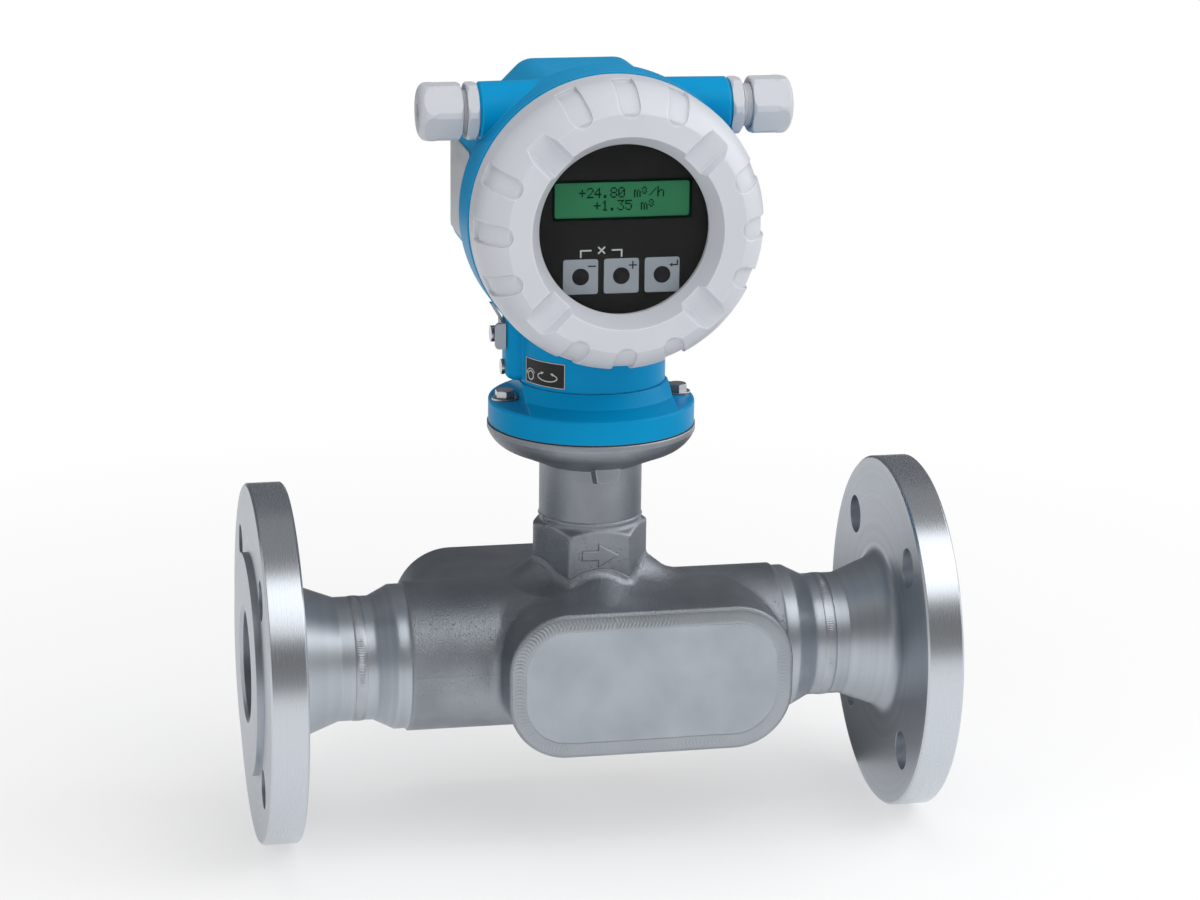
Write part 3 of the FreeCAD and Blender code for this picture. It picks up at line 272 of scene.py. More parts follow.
# shared surface effects
def makeBlastGrain():
    tree, given = newGroup("blastGrain", "ShaderNodeTree",
                           [("Vector", "Vector"), ("Grain", "Float", 1400.0), ("Cloud", "Float", 45.0)],
                           [("Height", "Float"), ("Mottle", "Float")])
    grain = noiseOf(tree, given["Grain"], 3.0, given["Vector"])
    cloud = noiseOf(tree, given["Cloud"], 4.0, given["Vector"])
    addNode(tree, "NodeGroupOutput", {0: grain, 1: cloud})
    return tree


def makeLatheLines():
    # fine rings round the flow axis, on faces and on rims
    tree, given = newGroup("latheLines", "ShaderNodeTree",
                           [("Vector", "Vector"), ("Lines", "Float", 2500.0), ("Bands", "Float", 260.0)],
                           [("Height", "Float"), ("Streak", "Float"), ("Radius", "Float")])
    axes = axesOf(given["Vector"])
    flat = outOf(tree, "ShaderNodeCombineXYZ", {1: axes[1], 2: axes[2]})
    radius = vectorOf("LENGTH", {0: flat})
    along = plus(radius, axes[0])
    fine, wide = (outOf(tree, "ShaderNodeTexNoise", {"W": along, "Scale": given[scale], "Detail": detail},
                        noise_dimensions="1D") for scale, detail in (("Lines", 2.0), ("Bands", 3.0)))
    addNode(tree, "NodeGroupOutput", {0: fine, 1: wide, 2: radius})
    return tree


def makeSoftEdge():
    # eased edges, and a mask that is strong along them
    tree, given = newGroup("softEdge", "ShaderNodeTree", [("Radius", "Float", 0.0005)],
                           [("Normal", "Vector"), ("Edge", "Float")])
    eased = outOf(tree, "ShaderNodeBevel", {"Radius": given["Radius"]}, samples=6)
    plain = addNode(tree, "ShaderNodeNewGeometry").outputs["Normal"]
    same = vectorOf("DOT_PRODUCT", {0: eased, 1: plain})
    addNode(tree, "NodeGroupOutput", {0: eased, 1: spread(same, (1.0, 0.86))})
    return tree


blastGrain = makeBlastGrain()
latheLines = makeLatheLines()
softEdge = makeSoftEdge()
grainSpan, streakSpan = (0.3, 0.7), (0.35, 0.65)


def placeGroup(tree, group, values):
    return addNode(tree, "ShaderNodeGroup", values, node_tree=group).outputs


def newMaterial(name):
    material = bpy.data.materials.new(name)
    tree = emptyTree(material)
    return material, tree, addNode(tree, "ShaderNodeTexCoord").outputs["Object"]


def skinAndEdge(tree, place, values):
    skin = placeGroup(tree, blastGrain, {"Vector": place, "Grain": values["grain"], "Cloud": values["cloud"]})
    return skin, placeGroup(tree, softEdge, {"Radius": values["edge"]})


def endMaterial(tree, values, edge, height, shading):
    bump = outOf(tree, "ShaderNodeBump", {"Strength": values["bump"], "Distance": values["relief"],
                                          "Height": height, "Normal": edge["Normal"]})
    shader = outOf(tree, "ShaderNodeBsdfPrincipled", dict(shading, Normal=bump))
    addNode(tree, "ShaderNodeOutputMaterial", {0: shader})


def grainSurface(name, values):
    # a finish of fine grain over slow clouds, with eased edges
    material, tree, place = newMaterial(name)
    if "stretch" in values:
        place = outOf(tree, "ShaderNodeMapping", {"Vector": place, "Scale": values["stretch"]})
    skin, edge = skinAndEdge(tree, place, values)
    colour = shadeBetween(skin["Mottle"], grainSpan, values["dark"], values["light"])
    # edges mixed toward the bare colour: part worn edge, part painted highlight along the edges
    colour = mixColours(times(edge["Edge"], values["wear"]), colour, values["bare"])
    if "mirrored" in values:
        # painted reflection: a calmer grey in place of the paint's own colour, seen only where metal mirrors the
        # paint
        glossy = times(rayIs(tree, "Is Glossy Ray"), values["mirrorShare"])
        colour = mixColours(glossy, colour, values["mirrored"])
    if "crease" in values:
        # ripple troughs darkened toward the soot colour: painted shade in the weld's creases
        lines = addNode(tree, "ShaderNodeAttribute", attribute_name="crease").outputs["Fac"]
        colour = mixColours(times(lines, values["crease"]), colour, values["soot"])
    rough = spread(skin["Height"], grainSpan, values["rough"])
    endMaterial(tree, values, edge, skin["Height"], {
        "Base Color": colour, "Roughness": rough, "Metallic": values["metal"],
        "Specular IOR Level": values["gloss"]})
    return material


def turnedSurface(name, values):
    # metal turned about the flow axis, smoother on the rim where a rim radius is given
    material, tree, place = newMaterial(name)
    lines = placeGroup(tree, latheLines, {"Vector": place, "Lines": values["lines"]})
    skin, edge = skinAndEdge(tree, place, values)
    streakShare = values["streakShare"]
    tone = plus(times(lines["Streak"], streakShare), times(skin["Mottle"], 1 - streakShare))
    colour = shadeBetween(tone, streakSpan, values["dark"], values["light"])
    rough = spread(lines["Height"], grainSpan, values["rough"])
    if "rim" in values:
        rim = spread(lines["Radius"], values["rim"])
        rough = mixValues(rim, rough, spread(lines["Height"], grainSpan, values["rimRough"]))
        colour = mixColours(rim, colour, values["rimTone"])
    endMaterial(tree, values, edge, lines["Height"], {"Base Color": colour, "Roughness": rough, "Metallic": 1.0})
    return material


# the bare colour and the wear share lighten edges: part worn edge, part painted highlight
finishColumns = ("dark", "light", "bare", "rough", "grain", "cloud", "edge", "wear", "bump", "relief",
                 "metal", "gloss")
finishRows = {
    "castSteel": ((0.27, 0.29, 0.32), (0.36, 0.385, 0.42), (0.60, 0.63, 0.67), (0.40, 0.56),
        1500.0, 40.0, 0.0009, 0.9, 0.5, 0.0004, 1.0, 0.5),
    "weldSteel": ((0.37, 0.40, 0.43), (0.42, 0.45, 0.485), (0.6, 0.63, 0.67), (0.36, 0.46),
        1600.0, 50.0, 0.0002, 0.2, 0.08, 0.0002, 1.0, 0.5),
    "seamSteel": ((0.44, 0.47, 0.51), (0.53, 0.56, 0.60), (0.6, 0.63, 0.67), (0.32, 0.42),
        1600.0, 70.0, 0.0002, 0.2, 0.08, 0.0002, 1.0, 0.5),
    "plateSteel": ((0.395, 0.434, 0.474), (0.51, 0.55, 0.595), (0.62, 0.66, 0.70), (0.44, 0.56),
        2200.0, 34.0, 0.0003, 0.3, 0.10, 0.0003, 0.9, 0.5),
    "brightSteel": ((0.42, 0.43, 0.445), (0.53, 0.54, 0.555), (0.8, 0.8, 0.8), (0.18, 0.28),
        1800.0, 80.0, 0.0003, 0.4, 0.05, 0.0002, 1.0, 0.5),
    "nameplateSteel": ((0.70, 0.725, 0.755), (0.79, 0.815, 0.845), (0.85, 0.86, 0.87), (0.34, 0.46),
        1600.0, 60.0, 0.0002, 0.6, 0.06, 0.0002, 0.9, 0.5),
    "bluePaint": ((0.0, 0.245, 0.50), (0.0, 0.28, 0.555), (0.06, 0.42, 0.68), (0.32, 0.42),
        1100.0, 20.0, 0.0007, 0.8, 0.10, 0.0004, 0.0, 0.08),
    "palePaint": ((0.535, 0.555, 0.60), (0.58, 0.60, 0.645), (0.88, 0.90, 0.93), (0.34, 0.44),
        1100.0, 20.0, 0.0011, 0.65, 0.08, 0.0004, 0.0, 0.5),
    "palePlastic": ((0.50, 0.52, 0.56), (0.545, 0.565, 0.605), (0.72, 0.74, 0.78), (0.38, 0.48),
        1700.0, 30.0, 0.0004, 0.4, 0.06, 0.0003, 0.0, 0.5),
    "blackRubber": ((0.012, 0.012, 0.013), (0.022, 0.022, 0.024), (0.03, 0.03, 0.032), (0.55, 0.70),
        1600.0, 60.0, 0.0003, 0.5, 0.12, 0.0003, 0.0, 0.5),
    "fasciaBlack": ((0.018, 0.018, 0.0175), (0.022, 0.022, 0.0215), (0.02, 0.02, 0.02), (0.55, 0.66),
        2400.0, 50.0, 0.0003, 0.3, 0.03, 0.0001, 0.0, 0.03),
    "sensorBlack": ((0.006, 0.005, 0.008), (0.012, 0.010, 0.014), (0.03, 0.03, 0.03), (0.20, 0.30),
        2400.0, 90.0, 0.0002, 0.3, 0.02, 0.0002, 0.0, 0.2),
    "boardGreen": ((0.006, 0.055, 0.022), (0.015, 0.11, 0.045), (0.20, 0.18, 0.08), (0.30, 0.42),
        900.0, 160.0, 0.0002, 0.6, 0.05, 0.0002, 0.0, 0.5),
    "carrierGrey": ((0.17, 0.175, 0.185), (0.22, 0.225, 0.235), (0.30, 0.30, 0.31), (0.42, 0.55),
        1500.0, 40.0, 0.0004, 0.4, 0.06, 0.0003, 0.0, 0.5),
    "terminalGrey": ((0.28, 0.29, 0.30), (0.34, 0.35, 0.36), (0.42, 0.42, 0.43), (0.40, 0.52),
        1500.0, 50.0, 0.0004, 0.4, 0.06, 0.0003, 0.0, 0.5),
    "lcdGreen": ((0.033, 0.172, 0.082), (0.039, 0.194, 0.093), (0.05, 0.20, 0.10), (0.40, 0.50),
        2600.0, 60.0, 0.0002, 0.2, 0.02, 0.0002, 0.0, 0.05),
    "lcdDark": ((0.002, 0.008, 0.006), (0.003, 0.012, 0.009), (0.004, 0.014, 0.010), (0.45, 0.55),
        2600.0, 90.0, 0.0001, 0.2, 0.02, 0.0001, 0.0, 0.02),
    "keyGrey": ((0.285, 0.308, 0.350), (0.330, 0.355, 0.400), (0.52, 0.55, 0.58), (0.45, 0.56),
        2400.0, 60.0, 0.0003, 0.4, 0.03, 0.0002, 0.0, 0.2),
    "signDark": ((0.008, 0.010, 0.018), (0.013, 0.015, 0.026), (0.02, 0.02, 0.03), (0.50, 0.60),
        2400.0, 60.0, 0.0001, 0.2, 0.02, 0.0001, 0.0, 0.2),
    "signLight": ((0.52, 0.52, 0.50), (0.60, 0.60, 0.58), (0.66, 0.66, 0.64), (0.48, 0.58),
        2400.0, 60.0, 0.0001, 0.2, 0.02, 0.0001, 0.0, 0.2),
    "labelBlack": ((0.012, 0.012, 0.012), (0.018, 0.018, 0.018), (0.05, 0.05, 0.05), (0.42, 0.54),
        2000.0, 70.0, 0.0002, 0.3, 0.05, 0.0002, 0.0, 0.3),
}
finishExtras = {
    # weld beads: crease share and soot colour are painted shade in the ripple troughs
    "weldSteel": {"crease": 0.42, "soot": (0.17, 0.185, 0.20)},
    "seamSteel": {"crease": 0.5, "soot": (0.22, 0.24, 0.26)},
    "nameplateSteel": {"stretch": (1.0, 0.03, 1.0)},
    # the grey the blue paint shows only in metal is a painted reflection
    "bluePaint": {"mirrored": (0.16, 0.19, 0.22), "mirrorShare": 0.8},
}
turnedFinishes = {
    "machinedSteel": {"lines": 2600.0, "grain": 900.0, "cloud": 25.0, "streakShare": 0.6, "edge": 0.0005,
                      "dark": (0.47, 0.505, 0.55), "light": (0.52, 0.555, 0.60), "rough": (0.39, 0.45),
                      "rim": (0.0811, 0.0819), "rimRough": (0.25, 0.29), "rimTone": (0.60, 0.635, 0.68),
                      "bump": 0.03, "relief": 0.0002},
    "transducerSteel": {"lines": 2600.0, "grain": 900.0, "cloud": 25.0, "streakShare": 0.6, "edge": 0.0003,
                        "dark": (0.45, 0.47, 0.49), "light": (0.58, 0.60, 0.62), "rough": (0.28, 0.40),
                        "bump": 0.10, "relief": 0.0002},
}
bodyFinish = {
    "middle": 0.1595, "castEnd": (0.0871, 0.0875), "lines": 2600.0, "grain": 1500.0, "cloud": 40.0, "edge": 0.0025,
    "castDark": (0.285, 0.306, 0.337), "castLight": (0.38, 0.406, 0.442), "castRough": (0.40, 0.56),
    "turnedDark": (0.47, 0.505, 0.55), "turnedLight": (0.52, 0.555, 0.60), "turnedRough": (0.34, 0.46),
    # bare and wear: the edge colour and its share, part worn edge, part painted highlight
    "bare": (0.62, 0.65, 0.69), "wear": 0.6, "bump": 0.55, "relief": 0.0004,
    "pits": 640.0, "pitSpan": (0.66, 0.76), "pitDepth": (0.0, -0.8),
    "seamSpan": (0.0, 0.0007), "seamRise": (0.22, 0.0), "ringRise": 0.25,
}


def bodySurface(name, values):
    # blasted casting between two turned ends, with a few pits and a faint parting line
    material, tree, place = newMaterial(name)
    axes = axesOf(place)
    off = mathOf("ABSOLUTE", minus(axes[0], values["middle"]))
    turned = spread(off, values["castEnd"])
    skin, edge = skinAndEdge(tree, place, values)
    lines = placeGroup(tree, latheLines, {"Vector": place, "Lines": values["lines"]})
    cast = shadeBetween(skin["Mottle"], grainSpan, values["castDark"], values["castLight"])
    bright = shadeBetween(lines["Streak"], streakSpan, values["turnedDark"], values["turnedLight"])
    colour = mixColours(turned, cast, bright)
    # edges mixed toward the bare colour: part worn edge, part painted highlight along the edges
    colour = mixColours(times(edge["Edge"], values["wear"]), colour, values["bare"])
    rough = mixValues(turned, spread(skin["Height"], grainSpan, values["castRough"]),
                      spread(lines["Height"], grainSpan, values["turnedRough"]))
    pit = spread(noiseOf(tree, values["pits"], 1.0, place), values["pitSpan"], values["pitDepth"])
    seam = spread(mathOf("ABSOLUTE", axes[2]), values["seamSpan"], values["seamRise"])
    height = mixValues(turned, plus(skin["Height"], pit, seam), times(lines["Height"], values["ringRise"]))
    endMaterial(tree, values, edge, height, {"Base Color": colour, "Roughness": rough, "Metallic": 1.0})
    return material


window = {"smear": 35.0, "smearDetail": 4.0, "smearSpan": (0.4, 0.7), "rough": (0.0, 0.004), "ior": 1.06,
          "tint": (0.97, 0.985, 0.98, 1), "passTint": (0.95, 0.96, 0.955, 1)}


def makeWindow(values):
    material, tree, place = newMaterial("windowGlass")
    smear = noiseOf(tree, values["smear"], values["smearDetail"], place)
    glass = outOf(tree, "ShaderNodeBsdfPrincipled", {
        "Base Color": values["tint"], "Roughness": spread(smear, values["smearSpan"], values["rough"]),
        "Transmission Weight": 1.0, "IOR": values["ior"]})
    clear = outOf(tree, "ShaderNodeBsdfTransparent", {"Color": values["passTint"]})
    passing = rayIs(tree, "Is Shadow Ray", "Is Diffuse Ray", "Is Glossy Ray")
    mixed = outOf(tree, "ShaderNodeMixShader", {0: passing, 1: glass, 2: clear})
    addNode(tree, "ShaderNodeOutputMaterial", {0: mixed})
    return material


materials = {name: grainSurface(name, dict(zip(finishColumns, row), **finishExtras.get(name, {})))
             for name, row in finishRows.items()}
materials.update({name: turnedSurface(name, values) for name, values in turnedFinishes.items()})
materials["bodySteel"] = bodySurface("bodySteel", bodyFinish)
materials["blendSteel"] = bodySurface("blendSteel", dict(bodyFinish, edge=0.0001, wear=0.0))
materials["window"] = makeWindow(window)
ownFinish = {"sensor_body": "bodySteel", "ground_clamp": "plateSteel"}


def finishOfSlot(slot):
    # a finish has its slot's name in camel case
    first, *rest = slot.split("_")
    return first + "".join(word.capitalize() for word in rest)


def dressNodes():
    for row in frame["record"]["subparts"]:
        slots = nodes[row["node"]].data.materials
        slots.clear()
        slots.append(materials[ownFinish.get(row["node"]) or finishOfSlot(row["material_slot"])])


dressNodes()
print("materials on", len(nodes), "nodes")


# tools for the detail pieces: points in millimetres of the object's own frame
def newPiece(name, points, faces, finish):
    mesh = bpy.data.meshes.new(name)
    mesh.from_pydata([Vector(point) * mm for point in points], [], faces)
    mesh.materials.append(materials[finish])
    piece = bpy.data.objects.new(name, mesh)
    scene.collection.objects.link(piece)
    return piece


def gather(name, shapes, finish):
    # one piece of closed shapes, with all faces turned outwards
    points, faces = [], []
    for shapePoints, shapeFaces in shapes:
        faces += [tuple(len(points) + corner for corner in face) for face in shapeFaces]
        points += shapePoints
    piece = newPiece(name, points, faces, finish)
    shape = bmesh.new()
    shape.from_mesh(piece.data)
    bmesh.ops.recalc_face_normals(shape, faces=shape.faces)
    shape.to_mesh(piece.data)
    shape.free()
    return piece


def settle(piece, body):
    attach(piece, body)


def gridFaces(rows, count, closed):
    # quads between neighbouring loops of points
    faces = []
    for row in range(rows if closed else rows - 1):
        here, there = row * count, (row + 1) % rows * count
        for i in range(count):
            j = (i + 1) % count
            faces.append((here + i, here + j, there + j, there + i))
    return faces


def loftSolid(loops, closed=False):
    # a closed solid through loops of the same count, with flat ends or run round into itself
    count = len(loops[0])
    points = [point for loop in loops for point in loop]
    ends = [] if closed else [tuple(range(count)), tuple(range(len(points) - count, len(points)))]
    return points, ends + gridFaces(len(loops), count, closed)


def stripSolid(left, right, place, closed=False):
    # a thin raised strip between two flat lines, with its own back and sides
    loops = [[place(*a, 1), place(*b, 1), place(*b, 0), place(*a, 0)] for a, b in zip(left, right)]
    return loftSolid(loops, closed)


def ribbon(line, widths, place, leastTurn=0.5):
    # a strip of the given widths along a flat line, mitred at its corners
    left, right = [], []
    spots = [Vector(spot) for spot in line]
    for i, spot in enumerate(spots):
        come = (spot - spots[i - 1]).normalized() if i else (spots[1] - spot).normalized()
        leave = (spots[i + 1] - spot).normalized() if i + 1 < len(spots) else come
        run = (come + leave).normalized()
        half = widths[i] / 2 / max(run.dot(come), leastTurn)
        side = Vector((-run.y, run.x)) * half
        left.append(tuple(spot + side))
        right.append(tuple(spot - side))
    return stripSolid(left, right, place)


def stroke(line, width, place):
    return ribbon(line, [width] * len(line), place)


def arrowHead(tip, back, width, place, tipShare=0.06):
    return ribbon([back, tip], [width, width * tipShare], place)


def headBeyond(tip, behind, length, width, place, overlap=0.02):
    # an arrowhead on the end of a line, a little into it
    tip, ahead = Vector(tip), (Vector(tip) - Vector(behind)).normalized()
    return arrowHead(tuple(tip + length * ahead), tuple(tip - overlap * ahead), width, place)


def divided(start, end, count):
    return [tuple(Vector(start).lerp(Vector(end), i / count)) for i in range(count + 1)]


def roundedLoop(width, height, radius, count):
    # even points round a rectangle with round corners, each with its way along and its outward direction
    spans = [width - 2 * radius, height - 2 * radius]
    bend = radius * math.pi / 2
    total = 2 * sum(spans) + 4 * bend
    result = []
    for i in range(count):
        along = left = total * i / count
        side = 0
        while left > spans[side % 2] + bend:
            left -= spans[side % 2] + bend
            side += 1
        span = spans[side % 2]
        across = (height if side % 2 == 0 else width) / 2
        bent = max(0.0, left - span) / radius
        outward = Vector((math.sin(bent), -math.cos(bent)))
        spot = Vector((min(left, span) - span / 2, radius - across)) + outward * radius
        spin = Matrix.Rotation(math.pi / 2 * side, 2)
        result.append((along, spin @ spot, spin @ outward))
    return result


def loopAbout(middle, width, height, radius, count):
    # the same loop as plain flat points about a middle
    return [(middle[0] + spot.x, middle[1] + spot.y) for _, spot, _ in roundedLoop(width, height, radius, count)]


# node trees of the repeating details
def newTree(name, inputs):
    return newGroup(name, "GeometryNodeTree", [("Geometry", "Geometry"), *inputs, ("Material", "Material")],
                    [("Geometry", "Geometry")])


def endTree(tree, given, geometry, smooth):
    real = outOf(tree, "GeometryNodeRealizeInstances", {0: geometry})
    shade = outOf(tree, "GeometryNodeSetShadeSmooth", {"Geometry": real, "Shade Smooth": smooth})
    finish = outOf(tree, "GeometryNodeSetMaterial", {"Geometry": shade, "Material": given["Material"]})
    addNode(tree, "NodeGroupOutput", {0: finish})
    return tree


fieldKinds = {"along": "FLOAT", "across": "FLOAT", "lift": "FLOAT_VECTOR", "inward": "FLOAT_VECTOR"}


def storeField(piece, name, values):
    kind = fieldKinds[name]
    field = piece.data.attributes.new(name, kind, "POINT")
    if kind == "FLOAT":
        field.data.foreach_set("value", values)
    else:
        field.data.foreach_set("vector", [number for value in values for number in value])


def runTree(piece, tree, values):
    # run the tree on the piece, keep its mesh and drop the modifier and the fields it read
    modifier = piece.modifiers.new("shape", "NODES")
    modifier.node_group = tree
    for socket in tree.interface.items_tree:
        if socket.in_out == "INPUT" and socket.name in values:
            modifier[socket.identifier] = values[socket.name]
    ready = piece.evaluated_get(bpy.context.evaluated_depsgraph_get())
    mesh = bpy.data.meshes.new_from_object(ready)
    old = piece.data
    piece.modifiers.clear()
    piece.data = mesh
    bpy.data.meshes.remove(old)
    mesh.name = piece.name
    for name in [field.name for field in mesh.attributes if field.name in fieldKinds]:
        mesh.attributes.remove(mesh.attributes[name])


# weld beads: noises as scale and detail, lengths in millimetres
beadForm = {
    "domePower": 0.7, "cloud": (60.0, 2.0), "jitter": (240.0, 1.0), "jitterReach": 1.1, "meanRipple": 0.64,
    "patchSpan": (0.38, 0.62), "patchStrength": (0.15, 1.0), "calmStrength": (1.0, 0.3),
    "stopHalf": 0.55, "stopDepth": -0.22, "swellSpan": (0.3, 0.7), "swell": (0.8, 1.2),
    "toePower": 4.0, "meanCloud": 0.5, "driftReach": 4.0, "creaseSpan": (0.0, 0.45), "creaseShare": (1.0, 0.0),
    "creasePower": 0.5, "rootShare": 0.9, "rootDepth": 0.7,
}


def makeWeldTree(form):
    # a bead that swells over its seam, with curved ripples, a wandering toe and one stop mark
    tree, given = newTree("weldBead", [
        ("Crown", "Float", 0.4), ("Pitch", "Float", 1.5), ("Depth", "Float", 0.12), ("Bow", "Float", 1.6),
        ("Sink", "Float", 0.15), ("Wander", "Float", 0.5), ("Stop", "Float", 0.0),
        ("Calm from", "Float", 9.0), ("Calm to", "Float", 10.0)])
    along, across, lift, inward = (
        addNode(tree, "GeometryNodeInputNamedAttribute", {"Name": name}, data_type=kind).outputs["Attribute"]
        for name, kind in fieldKinds.items())
    square = times(across, across)
    dome = mathOf("POWER", mathOf("MAXIMUM", minus(1.0, square), 0.0), form["domePower"])
    place = outOf(tree, "GeometryNodeInputPosition")
    cloud, jitter = (noiseOf(tree, *form[name], place) for name in ("cloud", "jitter"))
    trailing = plus(along, times(given["Bow"], square))
    shifted = plus(trailing, times(jitter, form["jitterReach"]))
    swing = mathOf("SINE", times(mathOf("DIVIDE", shifted, given["Pitch"]), math.pi))
    wave = mathOf("ABSOLUTE", swing)
    calm = spread(axesOf(place)[0], (given["Calm from"], given["Calm to"]), form["calmStrength"])
    strength = times(spread(cloud, form["patchSpan"], form["patchStrength"]), calm)
    ripple = times(minus(wave, form["meanRipple"]), strength, times(given["Depth"], dome))
    gap = mathOf("DIVIDE", minus(trailing, given["Stop"]), form["stopHalf"])
    stop = times(mathOf("EXPONENT", times(gap, gap, -1.0)), dome, form["stopDepth"])
    swell = times(given["Crown"], dome, spread(cloud, form["swellSpan"], form["swell"]))
    toe = times(mathOf("POWER", square, form["toePower"]), given["Sink"])
    height = minus(plus(swell, ripple, stop), toe)
    up = vectorOf("SCALE", {0: lift, "Scale": times(height, mm)})
    edge = times(mathOf("MAXIMUM", across, 0.0), given["Wander"])
    drift = times(minus(cloud, form["meanCloud"]), edge, form["driftReach"] * mm)
    move = vectorOf("ADD", {0: up, 1: vectorOf("SCALE", {0: inward, "Scale": drift})})
    bead = outOf(tree, "GeometryNodeSetPosition", {"Geometry": given["Geometry"], "Offset": move})
    # mask of the ripple troughs, which the material darkens as painted shade
    crease = times(spread(wave, form["creaseSpan"], form["creaseShare"]), strength,
                   mathOf("POWER", dome, form["creasePower"]))
    marked = outOf(tree, "GeometryNodeStoreNamedAttribute", {"Geometry": bead, "Name": "crease", "Value": crease},
                   data_type="FLOAT", domain="POINT")
    return endTree(tree, given, marked, True)


weldTree = makeWeldTree(beadForm)


def runBead(name, sections, rows, finish, shape):
    # sections give, round the seam: the way along, a foot for each place across, the lift and the inward direction
    points, fields = [], []
    still = (0, 0, 0)
    root, depth = beadForm["rootShare"], beadForm["rootDepth"]
    for along, foot, lift, inward in sections:
        for k in range(rows):
            share = 2 * k / (rows - 1) - 1
            points.append(foot(share))
            fields.append((along, share, lift, inward))
        for share in (root, -root):
            points.append(tuple(Vector(foot(share)) - depth * Vector(lift)))
            fields.append((along, share, still, still))
    piece = gather(name, [(points, gridFaces(len(sections), rows + 2, True))], finish)
    for field, values in zip(fieldKinds, zip(*fields)):
        storeField(piece, field, values)
    runTree(piece, weldTree, dict(shape, Material=materials[finish]))
    settle(piece, "sensor")


# plate in each pocket and the weld round it
pocketWeld = {
    "centre": 177.8, "width": 130.5, "height": 67.6, "corner": 27.0, "length": 319.0, "face": -56.2,
    "plate": -57.2, "plateBack": -54.0, "plateEdge": 0.35, "plateBrow": 0.3, "plateCount": 160,
    "land": 0.9, "slopeEnd": 7.4, "middle": 4.4, "half": 3.6, "count": 1600, "rows": 15,
    "shape": {"Crown": 0.20, "Pitch": 1.75, "Depth": 0.23, "Bow": -2.4, "Sink": 0.2, "Wander": 0.6},
    "front": {"Stop": 215.8, "Calm from": 0.208, "Calm to": 0.226},
    "rear": {"Stop": 74.0, "Calm from": 0.111, "Calm to": 0.093},
}


def pocketLoop(values, inset, count):
    return roundedLoop(values["width"] - 2 * inset, values["height"] - 2 * inset, values["corner"] - inset, count)


def inPocket(values, side, x, y, z):
    # the rear pocket is the front one after half a turn about the neck
    x += values["centre"]
    return (values["length"] - x, -y, z) if side == "rear" else (x, y, z)


def pocketBead(name, values, side):
    inset, land, face = values["middle"], values["land"], values["face"]
    out = -1 if side == "rear" else 1
    sections = []
    for along, spot, outward in pocketLoop(values, inset, values["count"]):
        def foot(share, spot=spot, outward=outward):
            depth = inset + values["half"] * share
            fall = min(max((depth - land) / (values["slopeEnd"] - land), 0.0), 1.0)
            flat = spot - outward * (depth - inset)
            return inPocket(values, side, flat.x, face + (values["plate"] - face) * fall, flat.y)
        sections.append((along, foot, (0, -out, 0), (-outward.x * out, 0, -outward.y)))
    runBead(name, sections, values["rows"], "weldSteel", dict(values["shape"], **values[side]))


def pocketPlate(name, values, side, node):
    front, edge = values["plate"], values["plateEdge"]
    brow = edge * values["plateBrow"]
    rows = [(values["plateBack"], 0.0), (front + edge, 0.0), (front + brow, brow), (front, edge)]
    loops = [[inPocket(values, side, spot.x, y, spot.y)
              for _, spot, _ in pocketLoop(values, values["slopeEnd"] + inset, values["plateCount"])]
             for y, inset in rows]
    piece = gather(name, [loftSolid(loops)], "plateSteel")
    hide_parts(node)
    settle(piece, "sensor")


pocketBead("frontPocketWeld", pocketWeld, "front")
pocketBead("rearPocketWeld", pocketWeld, "rear")
pocketPlate("frontPocketPlate", pocketWeld, "front", "front_pocket_cover")
pocketPlate("rearPocketPlate", pocketWeld, "rear", "rear_pocket_cover")

# weld between each flange neck and the body
girthWeld = {
    "places": {"inletWeld": 50.0, "outletWeld": 269.0}, "radius": 28.5, "half": 3.1, "count": 1100, "rows": 11,
    "shape": {"Crown": 0.24, "Pitch": 1.10, "Depth": 0.28, "Bow": 1.8, "Sink": 0.16, "Wander": 0.3, "Stop": 40.0},
}


def girthBead(name, x, values):
    radius = values["radius"]
    sections = []
    for i in range(values["count"]):
        turn = 2 * math.pi * i / values["count"]
        lift = (0, math.cos(turn), math.sin(turn))

        def foot(share, lift=lift):
            return (x + values["half"] * share, lift[1] * radius, lift[2] * radius)
        sections.append((turn * radius, foot, lift, (1, 0, 0)))
    runBead(name, sections, values["rows"], "seamSteel", values["shape"])


for weldName, weldX in girthWeld["places"].items():
    girthBead(weldName, weldX, girthWeld)
print("welds run")


# soft cast blend between the collar, its webs and the body
castBlend = {
    "axis": 159.5, "half": 24.0, "sideRound": 8.0, "frontRound": 2.5, "arcSteps": 12, "flatStep": 1.2,
    "wallBall": 5.0, "wallSteps": (0.004, 0.02, 0.05, 0.1, 0.16, 0.24, 0.34, 0.46, 0.6, 0.8, 1.0),
    "groundBall": 15.0, "reach": 30.0, "fade": 10.0, "above": 59.0, "below": -60.0, "skin": 0.4, "least": 0.04,
}


def collarLoop(values):
    # points round the collar: a centre, the radius about it and the outward direction
    def cornerAt(index):
        turn = index * math.pi / 3
        bend = values["sideRound"] if index % 3 == 0 else values["frontRound"]
        reach = (values["half"] - bend) / math.cos(math.pi / 6)
        return turn, bend, Vector((math.cos(turn), math.sin(turn))) * reach
    result = []
    for index in range(6):
        turn, bend, middle = cornerAt(index)
        for i in range(values["arcSteps"] + 1):
            facing = turn + math.pi / 3 * (i / values["arcSteps"] - 0.5)
            outward = Vector((math.cos(facing), math.sin(facing)))
            result.append((middle, bend, outward))
        _, nextBend, nextMiddle = cornerAt(index + 1)
        start, end = middle + outward * bend, nextMiddle + outward * nextBend
        count = math.ceil((end - start).length / values["flatStep"])
        result += [(start.lerp(end, i / count), 0.0, outward) for i in range(1, count)]
    return result


